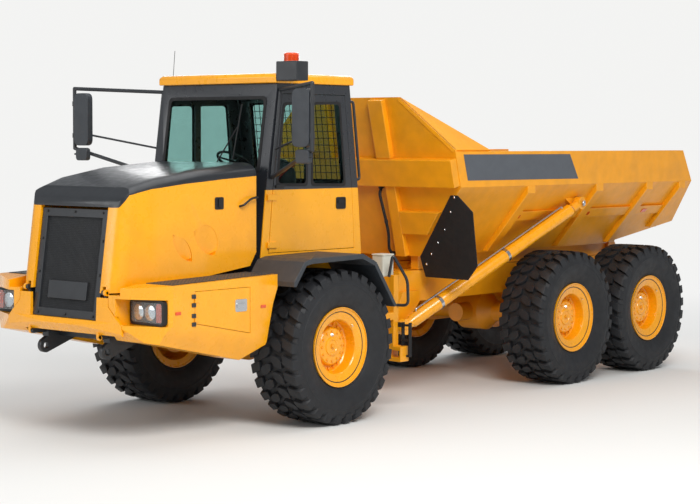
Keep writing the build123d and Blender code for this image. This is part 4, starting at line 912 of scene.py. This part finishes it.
def side_seals(side):
    return [handed(seal(window, "X", CAB_HALF - 0.004, CAB_HALF + 0.004), side) for window in SIDE_WINDOWS]


def window_seals():
    piece("door_window_seals", "cab_door", RUBBER, joined(*side_seals(1)), bevel=0.002)
    seals = side_seals(-1)
    for edge, half, z, out in ((CAB_FRONT, 0.690, FRONT_WINDOW_Z, -0.006),
                               (CAB_REAR, 0.620, REAR_WINDOW_Z, -0.002)):
        opening = quad((-half, half), z)
        outer, inner = rounded(grown(opening, 0.020), 0.06), rounded(grown(opening, -0.014), 0.05)
        seals.append(carved(leaning(outer, edge, out, 0.008), leaning(inner, edge, out - 0.05, 0.12)))
    piece("cab_window_seals", "front_frame", RUBBER, joined(*seals))


def rear_guard():
    """Wires over the rear window, on four stubs."""
    wires = [rod(*[cab_spot(CAB_REAR, -0.60 + k * 0.075, z, 0.022) for z in (1.640, 2.480)], 0.004, 8)
             for k in range(17)]
    wires += [rod(*[cab_spot(CAB_REAR, x, 1.655 + k * 0.0735, 0.027) for x in (-0.62, 0.62)], 0.004, 8)
              for k in range(12)]
    wires += [rod(*[cab_spot(CAB_REAR, x, z, out) for out in (-0.004, 0.028)], 0.008, 10)
              for x in (-0.60, 0.60) for z in (1.66, 2.46)]
    piece("rear_guard", "front_frame", DARK_PAINT, joined(*wires))


def wiper():
    foot, tip = (cab_spot(CAB_FRONT, x, z, -0.030) for x, z in ((0.05, 1.735), (0.36, 2.200)))
    blade = [cab_spot(CAB_FRONT, x, z, -0.018) for x, z in ((0.335, 1.880), (0.385, 2.440))]
    parts = [rod(foot, tip, 0.007, 10), rod(*blade, 0.006, 10)]
    for (x, y, z), reach, radius, steps in ((foot, 0.034, 0.014, 14), (tip, 0.014, 0.006, 10)):
        parts.append(rod((x, y, z), (x, y + reach, z), radius, steps))
    piece("wiper", "front_frame", BLACK, joined(*parts))


def cab_fittings():
    y, z = FRONT_AXLE_Y + 0.672, AXLE_Z + 1.420
    bowl = carved(side_patch(y, z, 0.075, 0.062, 0.025, 0.829, 0.840),
                  side_patch(y, z, 0.062, 0.049, 0.02, 0.834, 0.850))
    grip = side_patch(y, z + 0.013, 0.052, 0.017, 0.012, 0.833, 0.846)
    piece("door_handle", "cab_door", BLACK, joined(bowl, grip), bevel=0.002)
    cover = side_patch(FRONT_AXLE_Y - 0.2725, AXLE_Z + 1.6075, 0.0575, 0.0175, 0.01, 0.829, 0.846)
    piece("door_hinge_cover", "cab_door", BLACK, cover, bevel=0.003)
    rail = tube([cab_spot(CAB_REAR, 0.800, z, out) for z, out in
                 ((1.660, -0.004), (1.660, 0.070), (2.480, 0.070), (2.480, -0.004))], 0.015)
    piece("cab_handrail", "front_frame", DARK_PAINT, rail)


def puffed(x, y, z, crown=0.03):
    """A cushion: a box whose faces swell and whose edges are round."""
    bm = block(x, y, z)
    bmesh.ops.subdivide_edges(bm, edges=bm.edges, cuts=5, use_grid_fill=True)
    centre, half = ([(r[1] + sign * r[0]) / 2 for r in (x, y, z)] for sign in (1, -1))
    for v in bm.verts:
        p = [(v.co[i] - centre[i]) / half[i] for i in range(3)]
        for i in range(3):
            j, k = (i + 1) % 3, (i + 2) % 3
            pinch = 1 - 0.10 * (abs(p[j]) ** 4 + abs(p[k]) ** 4) + crown * (1 - p[j] ** 2) * (1 - p[k] ** 2)
            v.co[i] = centre[i] + half[i] * p[i] * pinch
    return bm


def seat():
    _, y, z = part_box("cab_seat")[0]
    pads = [
        ("seat_cushion", ["cab_seat"], puffed((-0.240, 0.240), (y + 0.01, y + 0.49), (z + 0.31, z + 0.45))),
        ("seat_back", (), puffed((-0.230, 0.230), (y + 0.40, y + 0.50), (z + 0.46, z + 1.09), crown=0.06)),
        ("seat_headrest", (), puffed((-0.120, 0.120), (y + 0.41, y + 0.49), (z + 0.97, z + 1.115))),
    ]
    for name, stands_for, form in pads:
        pad = piece(name, "front_frame", SEAT, form, stands_for, angle=80)
        swell = pad.modifiers.new("round", "SUBSURF")
        swell.levels = swell.render_levels = 1
    column = raised([(0, 0.17), (0.03, 0.16), (0.10, 0.11), (0.24, 0.11), (0.31, 0.18)], (0, y + 0.25, z), 32)
    armrest = joined(block((0.255, 0.310), (y + 0.12, y + 0.42), (z + 0.50, z + 0.55)),
                     block((0.262, 0.292), (y + 0.36, y + 0.40), (z + 0.30, z + 0.50)))
    piece("seat_base", "front_frame", BLACK, joined(column, mirrored(armrest)), bevel=0.006)
    belt = tube([(-0.235, y + 0.45, z + 0.44), (-0.10, y + 0.385, z + 0.70), (0.14, y + 0.385, z + 0.98),
                 (0.22, y + 0.47, z + 1.05)], 0.012, 0.08, 10)
    piece("seat_belt", "front_frame", RED, belt)


def dashboard():
    """The dash with its display, and the steering wheel on its column."""
    low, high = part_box("steering_console")
    _, y, z = low
    outline = [(0, 0), (0, 0.90), (0.08, 0.90), (0.20, 0.74), (0.24, 0.50), (0.10, 0)]
    middle = Vector((0, high[1] - 0.16, high[2] - 0.08))
    axis = Vector((0, 0.55, 0.83)).normalized()
    rim = [(0.014 * math.sin(a), 0.190 + 0.014 * math.cos(a)) for a in around(10)]
    parts = [prism([(y + dy, z + dz) for dy, dz in outline], "X", -0.50, 0.50),
             loop_turned(rim, middle, middle + axis, 48), rod(middle - axis * 0.30, middle, 0.030),
             turned([(-0.02, 0.05), (0.01, 0.05), (0.016, 0.03)], middle, middle + axis, 24)]
    across = Vector((1, 0, 0))
    other = axis.cross(across)
    for a in (math.radians(90), math.radians(210), math.radians(330)):
        spoke = across * (0.19 * math.cos(a)) + other * (0.19 * math.sin(a))
        parts.append(rod(middle, middle + spoke, 0.010, 10))
    parts.append(block((0.30, 0.48), (y + 0.06, y + 0.10), (z + 0.92, z + 1.06)))
    parts.append(rod((0.39, y + 0.08, z + 0.88), (0.39, y + 0.08, z + 0.93), 0.015))
    piece("dashboard", "front_frame", BLACK, joined(*parts), ["steering_console"], bevel=0.004)


window_seals()
rear_guard()
wiper()
cab_fittings()
seat()
dashboard()


# Mirrors, beacon and aerial
ARM_Y = FRONT_AXLE_Y - 0.765
ARM_X = 1.720


def mirrors():
    low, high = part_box("mirror_heads")
    back = high[1]

    def outline(inset, radius):
        """The head's outline, or one that lies further in."""
        return rectangle((1.480 + inset, high[0] - inset), (low[2] + inset, high[2] - inset), radius)

    head = carved(prism(outline(0, 0.07), "Y", low[1] - 0.004, back),
                  prism(outline(0.016, 0.055), "Y", back - 0.010, back + 0.02))
    piece("mirror_shells", "front_frame", DARK_PLASTIC, mirrored(head), ["mirror_heads"], bevel=0.014,
          segments=4)
    glass = prism(outline(0.018, 0.05), "Y", back - 0.010, back - 0.006)
    wide = prism(rectangle((1.512, 1.688), (2.632, 2.768), 0.04), "Y", low[1] + 0.004, back - 0.004)
    wide_glass = prism(rectangle((1.522, 1.678), (2.642, 2.758), 0.03), "Y", back - 0.005, back - 0.002)
    piece("mirror_glasses", "front_frame", MIRROR, mirrored(glass, wide_glass))
    piece("wide_mirrors", "front_frame", DARK_PLASTIC, mirrored(wide), bevel=0.010, segments=3)
    arms = [rod(at(0.840, -0.345, 1.980), at(1.690, -0.750, 2.150), 0.011, 12)]
    for start, z in ((1.670, 2.70), (1.690, 2.88), (1.690, 3.22)):
        arms.append(rod((start, ARM_Y, z), (ARM_X + 0.002, ARM_Y, z), 0.010))
    for z in (2.90, 3.24):
        arms.append(raised([(-0.025, 0.026), (0.025, 0.026)], (ARM_X, ARM_Y, z), 20))
    piece("mirror_clamps", "front_frame", DARK_PAINT, mirrored(*arms))


def beacon():
    low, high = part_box("beacon")
    foot = ((low[0] + high[0]) / 2, (low[1] + high[1]) / 2, low[2])
    profile = [(0.000, 0.078), (0.006, 0.080)]
    for k in range(8):
        z = 0.008 + k * 0.009
        profile += [(z, 0.0795), (z + 0.003, 0.0755), (z + 0.006, 0.0755)]
    profile += [(0.082, 0.074), (0.088, 0.064), (0.090, 0.001)]
    piece("beacon_lens", "front_frame", AMBER, raised(profile, foot, 56), ["beacon"], angle=50)
    low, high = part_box("beacon_box")
    box = block((low[0], high[0]), (low[1] - 0.110, high[1]), (low[2], high[2]))
    piece("beacon_housing", "front_frame", DARK_PAINT, box, ["beacon_box"], bevel=0.010, segments=3)
    core = raised([(0.002, 0.030), (0.060, 0.030), (0.070, 0.020)], foot, 24)
    piece("beacon_core", "front_frame", CHROME, core)


def aerial():
    foot = at(-0.785, -0.200, 2.660)
    whip = rod(foot + UP * 0.04, foot + Vector((0, 0.03, 0.36)), 0.003, 8)
    socket = raised([(0, 0.028), (0.035, 0.020), (0.05, 0.010)], foot, 20)
    piece("aerial", "front_frame", BLACK, joined(socket, whip))


mirrors()
beacon()
aerial()


# Bed: ribs, headboard beam and wings, rubber flaps, grey stripe, reflectors and pipes
BED_HALF = 1.400
BED_FLOOR_HALF = 0.740
BED_BOTTOM = AXLE_Z + 0.778
BAND_BOTTOM = AXLE_Z + 1.568
SIDE_SLOPE = (BED_HALF - BED_FLOOR_HALF) / (BAND_BOTTOM - BED_BOTTOM)
SIDE_RIBS = [  # (y, height of the foot above the bed's bottom)
    (REAR_AXLE_Y - 2.516, 0.020), (REAR_AXLE_Y - 1.101, 0.020), (REAR_AXLE_Y + 0.029, 0.020),
    (REAR_AXLE_Y + 0.809, 0.190),
]
LONG_RIB_Z = (AXLE_Z + 1.150, AXLE_Z + 1.260)
RIB_WIDTH = 0.150
RIB_DEPTH = 0.075
RIB_SINK = 0.020
STRIPE_OUTLINE = from_front([(2.045, 1.925), (2.124, 1.640), (4.278, 1.632), (4.097, 1.921)])
REFLECTOR_Z = 1.980
HEAD_TOP = AXLE_Z + 2.548
HEAD_FOOT_Y = -0.161
HEAD_REACH = 0.450
HEAD_LEAN = HEAD_REACH / (HEAD_TOP - BED_BOTTOM)
BOARD_NORMAL = Vector((0, -1, -HEAD_LEAN)).normalized()
BOARD_SINK = -0.005
BOARD_RIB = 0.070
WING_FOOT = (BED_HALF - 0.007, AXLE_Z + 1.975)
FLAP = [(1.250, AXLE_Z + 1.480), (1.345, AXLE_Z + 1.480), (1.520, AXLE_Z + 1.301), (1.474, AXLE_Z + 0.705),
        (1.319, AXLE_Z + 0.544), (0.724, AXLE_Z + 0.551), (0.690, AXLE_Z + 0.778)]
FLAP_THICKNESS = 0.013
HOIST_FOOT = at(TRACK_HALF - 0.418, 1.830, 0.021)
HOIST_EYE = Vector((1.320, REAR_AXLE_Y - 1.421, AXLE_Z + 1.338))
HOIST_RADIUS = 0.074
HOIST_MOUTH = 0.180


def slope_x(z, out=0.0):
    """X of the sloped side's outer face at height z, moved out by a distance."""
    return BED_FLOOR_HALF + SIDE_SLOPE * (z - BED_BOTTOM) + out


def side_ribs():
    knee = BED_BOTTOM + (BED_HALF - BED_FLOOR_HALF - RIB_DEPTH) / SIDE_SLOPE
    parts = []
    for y, foot in SIDE_RIBS:
        foot += BED_BOTTOM
        outline = [(slope_x(foot, -RIB_SINK), foot), (slope_x(foot, RIB_DEPTH), foot), (BED_HALF, knee),
                   (BED_HALF, BAND_BOTTOM), (BED_HALF - RIB_SINK, BAND_BOTTOM)]
        parts.append(prism(outline, "Y", y - RIB_WIDTH / 2, y + RIB_WIDTH / 2))
    low, high = LONG_RIB_Z
    outline = [(slope_x(z, out), z) for z, out in
               ((low, -RIB_SINK), (low, RIB_DEPTH / 2), (high, RIB_DEPTH / 2), (high, -RIB_SINK))]
    parts.append(prism(outline, "Y", SIDE_RIBS[0][0], SIDE_RIBS[-1][0]))
    piece("bed_side_ribs", "bed", YELLOW_WORK, mirrored(*parts), bevel=0.008, segments=3)


def board_spot(x, z, out):
    """A point in front of the leaning headboard's face by a distance."""
    return Vector((x, HEAD_FOOT_Y - HEAD_LEAN * (z - BED_BOTTOM), z)) + BOARD_NORMAL * out


def board(points, low, high):
    """A plate on the headboard, between two distances in front of its face."""
    return skin([[board_spot(x, z, out) for x, z in points] for out in (low, high)])


def headboard():
    beam = board(quad((-WING_FOOT[0], WING_FOOT[0]), (AXLE_Z + 1.584, AXLE_Z + 1.883)), BOARD_SINK, 0.100)
    cross_high, cross_low = AXLE_Z + 1.299, AXLE_Z + 1.045
    ribs = [quad((0.325, 0.530), (AXLE_Z + 1.884, HEAD_TOP - 0.02)),
            quad((0.390, 0.530), (BED_BOTTOM + 0.01, AXLE_Z + 1.585)),
            [(0.530, cross_high), (1.090, cross_high), (0.880, cross_low), (0.530, cross_low)]]
    ribs = joined(*[board(rib, BOARD_SINK, BOARD_RIB) for rib in ribs])
    piece("headboard_ribs", "bed", YELLOW_WORK, joined(beam, mirrored(ribs)), bevel=0.008, segments=3)
    # Wings that close the corners between headboard and side rails
    foot = board_spot(*WING_FOOT, 0.0)
    top = Vector((BED_FLOOR_HALF - 0.015, HEAD_FOOT_Y - HEAD_REACH, HEAD_TOP))
    across = (top - foot).cross(Vector((0, 1, 0))).normalized() * 0.040
    face = [foot, foot + Vector((0, 0.650, 0)), top + Vector((0, 0.040, 0)), top]
    wing = skin([face, [p + across for p in face]])
    piece("headboard_wings", "bed", YELLOW_WORK, mirrored(wing), bevel=0.006)
    piece("bed_flaps", "bed", RUBBER, mirrored(board(FLAP, 0.001, FLAP_THICKNESS)), bevel=0.002)
    spots = ((1.30, 1.46), (1.22, 1.30), (1.10, 1.10), (0.98, 0.95), (0.86, 0.82), (0.77, 0.70))
    heads = [bolt(board_spot(x, AXLE_Z + z, FLAP_THICKNESS), BOARD_NORMAL, 0.011, 0.009) for x, z in spots]
    piece("flap_bolts", "bed", STEEL, mirrored(*heads))


def side_marks():
    stripe = prism(STRIPE_OUTLINE, "X", BED_HALF - 0.001, BED_HALF + 0.0015)
    piece("bed_stripe", "bed", STRIPE, mirrored(stripe))
    x = slope_x(REFLECTOR_Z, RIB_DEPTH / 2)
    reflectors = []
    for y in (1.063, 2.511, 3.811):
        outline = quad((y - 0.05, y + 0.05), (REFLECTOR_Z - 0.02, REFLECTOR_Z + 0.02))
        reflectors.append(skin([[(x + SIDE_SLOPE * (level - REFLECTOR_Z) + out, spot, level)
                                 for spot, level in outline] for out in (-0.004, 0.008)]))
    piece("bed_reflectors", "bed", AMBER, mirrored(*reflectors), bevel=0.002)
    _, y, z = HOIST_EYE
    pin = joined(rod((1.17, y, z), (1.262, y, z), 0.030), bolt((1.381, y, z), OUTWARD, 0.024, 0.012))
    piece("hoist_pins", "bed", STEEL, mirrored(pin))


def board_pipes():
    """Dark heating pipes on the headboard, each with a union at both ends and a clip."""
    route = ((0.300, 1.560, 0.02), (0.300, 1.500, 0.075), (0.345, 1.200, 0.090), (0.350, 1.053, 0.085),
             (0.310, 0.860, 0.075), (0.310, 0.800, 0.02))
    union = [(-0.01, 0.024), (0.030, 0.024), (0.036, 0.016), (0.060, 0.016)]
    clip_z = AXLE_Z + 1.190
    for side_name, side in reversed(SIDES.items()):
        pipe = tube([board_spot(x, AXLE_Z + z, out) for x, z, out in route], 0.017, 0.08)
        piece(f"headboard_pipe_{side_name}", "bed", RUBBER, handed(pipe, side))
        parts = [turned(union, *[board_spot(x, AXLE_Z + z, out) for out in (0.0, 1.0)], 20)
                 for x, z in ((0.300, 1.560), (0.310, 0.800))]
        parts.append(turned([(-0.018, 0.021), (0.018, 0.021)],
                            *[board_spot(0.345, z, 0.088) for z in (clip_z, clip_z + 1)], 16))
        piece(f"headboard_unions_{side_name}", "bed", BLACK, handed(joined(*parts), side))


def hoists():
    """Slender barrels with their bands and pipes, and the rods with painted eyes."""
    axis = (HOIST_EYE - HOIST_FOOT).normalized()
    reach = (HOIST_EYE - HOIST_FOOT).length
    length = reach - HOIST_MOUTH
    line = (HOIST_FOOT, HOIST_EYE)
    over = (UP - axis * axis.z).normalized()
    across = Vector((0.035, 0, 0))
    barrel = [(0.02, 0.055), (0.10, 0.055), (0.13, HOIST_RADIUS), (length - 0.004, HOIST_RADIUS),
              (length, HOIST_RADIUS - 0.004)]
    band = [(-0.020, HOIST_RADIUS), (-0.020, HOIST_RADIUS + 0.006), (0.020, HOIST_RADIUS + 0.006),
            (0.020, HOIST_RADIUS)]
    low, high = HOIST_FOOT + axis * 0.22, HOIST_FOOT + axis * (length - 0.10)
    pipe = [low + over * 0.060, low + over * 0.098, high + over * 0.098, high + over * 0.060]
    neck = [(reach - 0.150, 0.048), (reach - 0.140, 0.056), (reach - 0.05, 0.056)]
    for side_name, side in SIDES.items():
        body = f"hoist_barrel_{side_name}"
        form = joined(rod(HOIST_FOOT - across, HOIST_FOOT + across, 0.088, 40), turned(barrel, *line))
        piece(f"{body}_tube", body, YELLOW, handed(form, side), [body])
        bands = [turned([(d + run, radius) for run, radius in band], *line, 40) for d in (0.55, 1.66)]
        piece(f"{body}_bands", body, STEEL, handed(joined(*bands), side))
        piece(f"{body}_pipe", body, STEEL, handed(tube(pipe, 0.011, 0.03), side))
        body = f"hoist_rod_{side_name}"
        shaft = rod(HOIST_FOOT + axis * 0.12, HOIST_EYE - axis * 0.07, 0.042, 32)
        piece(f"{body}_shaft", body, CHROME, handed(shaft, side), [body])
        eye = rod(HOIST_EYE - across * 1.08, HOIST_EYE + across * 1.08, 0.075, 40)
        piece(f"{body}_eye", body, YELLOW_WORK, handed(joined(eye, turned(neck, *line, 32)), side))


side_ribs()
headboard()
side_marks()
board_pipes()
hoists()


def step_side():
    """The left side's control box, leaning rail and hanging step, behind the front wheel."""
    y = FRONT_AXLE_Y + 1.140
    foot_z, lid_z = AXLE_Z + 0.635, AXLE_Z + 0.855
    box = joined(prism(rectangle((0.940, 1.100), (y - 0.090, y + 0.090), 0.02), "Z", foot_z, lid_z),
                 prism(rectangle((0.934, 1.106), (y - 0.096, y + 0.096), 0.02), "Z", lid_z, lid_z + 0.017),
                 block((1.095, 1.145), (y - 0.040, y + 0.040), (foot_z, foot_z + 0.020)))
    piece("frame_box", "front_frame", PALE, box, bevel=0.005)
    rail = tube([at(1.180, 1.050, 0.640), at(1.230, 1.050, 0.880), at(1.320, 1.190, 0.600),
                 at(1.330, 1.190, 0.335), at(1.190, 1.150, 0.335)], 0.016, 0.06)
    piece("step_rail", "front_frame", DARK_PAINT, rail)
    step_y = (y + 0.052, y + 0.100)
    parts = [block((x, x + 0.012), step_y, (AXLE_Z - 0.215, AXLE_Z + 0.150)) for x in (1.234, 1.330)]
    parts += [block((1.246, 1.330), step_y, (AXLE_Z + z, AXLE_Z + z + 0.020))
              for z in (-0.215, -0.050, 0.110)]
    parts.append(block((1.200, 1.246), (y + 0.030, y + 0.060), (AXLE_Z + 0.100, AXLE_Z + 0.150)))
    piece("hanging_step", "front_frame", RUBBER, joined(*parts), bevel=0.002)


step_side()


# Floor, background and lamps
BACKDROP = (0.90, 0.90, 0.89, 1.0)
SKY = (0.93, 0.96, 1.0, 1.0)
SKY_STRENGTH = 0.36
FLOOR_SIZE = 60
FADE = (5.0, 15.0)


def floor_finish():
    """Pale paint that keeps the truck's shadow, and fades into the backdrop further away."""
    m = bpy.data.materials.new("floor_pale")
    m.use_nodes = True
    tree = m.node_tree
    place = add(tree, "TexCoord").outputs["Object"]
    cloud = add(tree, "TexNoise", {"Scale": 0.8, "Vector": place}).outputs["Fac"]
    gloss = add(tree, "MapRange", {"Value": cloud, "To Min": 0.85, "To Max": 0.95}).outputs["Result"]
    shader = tree.nodes["Principled BSDF"]
    fill(tree, shader, {"Base Color": srgb(232, 232, 230), "Roughness": gloss, "Specular IOR Level": 0.1})
    away = add(tree, "VectorMath", {0: place}, operation="LENGTH").outputs["Value"]
    limits = {"From Min": FADE[0], "From Max": FADE[1]}
    fade = add(tree, "MapRange", {"Value": away, **limits}, interpolation_type="SMOOTHSTEP").outputs["Result"]
    far = add(tree, "Emission", {"Color": BACKDROP}).outputs[0]
    mix = add(tree, "MixShader", {0: fade, 1: shader.outputs[0], 2: far})
    fill(tree, tree.nodes["Material Output"], {"Surface": mix.outputs[0]})
    return m


floor_mesh = bpy.data.meshes.new("floor")
grid = bmesh.new()
bmesh.ops.create_grid(grid, x_segments=8, y_segments=8, size=FLOOR_SIZE)
grid.to_mesh(floor_mesh)
grid.free()
floor = bpy.data.objects.new("floor", floor_mesh)
floor_mesh.materials.append(floor_finish())
bpy.context.scene.collection.objects.link(floor)

world = bpy.data.worlds.new("studio")
bpy.context.scene.world = world
world.use_nodes = True
sky = world.node_tree
sky_light = sky.nodes["Background"]
fill(sky, sky_light, {"Color": SKY, "Strength": SKY_STRENGTH})
seen = add(sky, "Background", {"Color": BACKDROP, "Strength": 1.0})
rays = add(sky, "LightPath").outputs
straight = add(sky, "Math", {0: rays["Is Camera Ray"], 1: rays["Is Transmission Ray"]}, operation="MAXIMUM")
chosen = add(sky, "MixShader", {0: straight.outputs[0], 1: sky_light.outputs[0], 2: seen.outputs[0]})
fill(sky, sky.nodes["World Output"], {"Surface": chosen.outputs[0]})


def lamp(name, place, target, size, power, colour=(1, 1, 1)):
    data = bpy.data.lights.new(name, "AREA")
    data.shape = "RECTANGLE"
    data.size, data.size_y = size
    data.energy = power
    data.color = colour
    obj = bpy.data.objects.new(name, data)
    obj.location = place
    obj.rotation_euler = (Vector(target) - Vector(place)).to_track_quat("-Z", "Y").to_euler()
    bpy.context.scene.collection.objects.link(obj)


lamp("key", (11, -8, 11), (0, -0.5, 1.4), (7, 6), 1850, (1.0, 0.98, 0.95))
lamp("front_fill", (-5, -15, 6), (0, -3, 1.2), (9, 6), 460)
lamp("top", (0, 2, 13), (0, 0, 1), (12, 12), 580)
lamp("back_rim", (-9, 9, 8), (0, 1, 2), (8, 6), 620)

bpy.context.scene.view_settings.view_transform = "Standard"
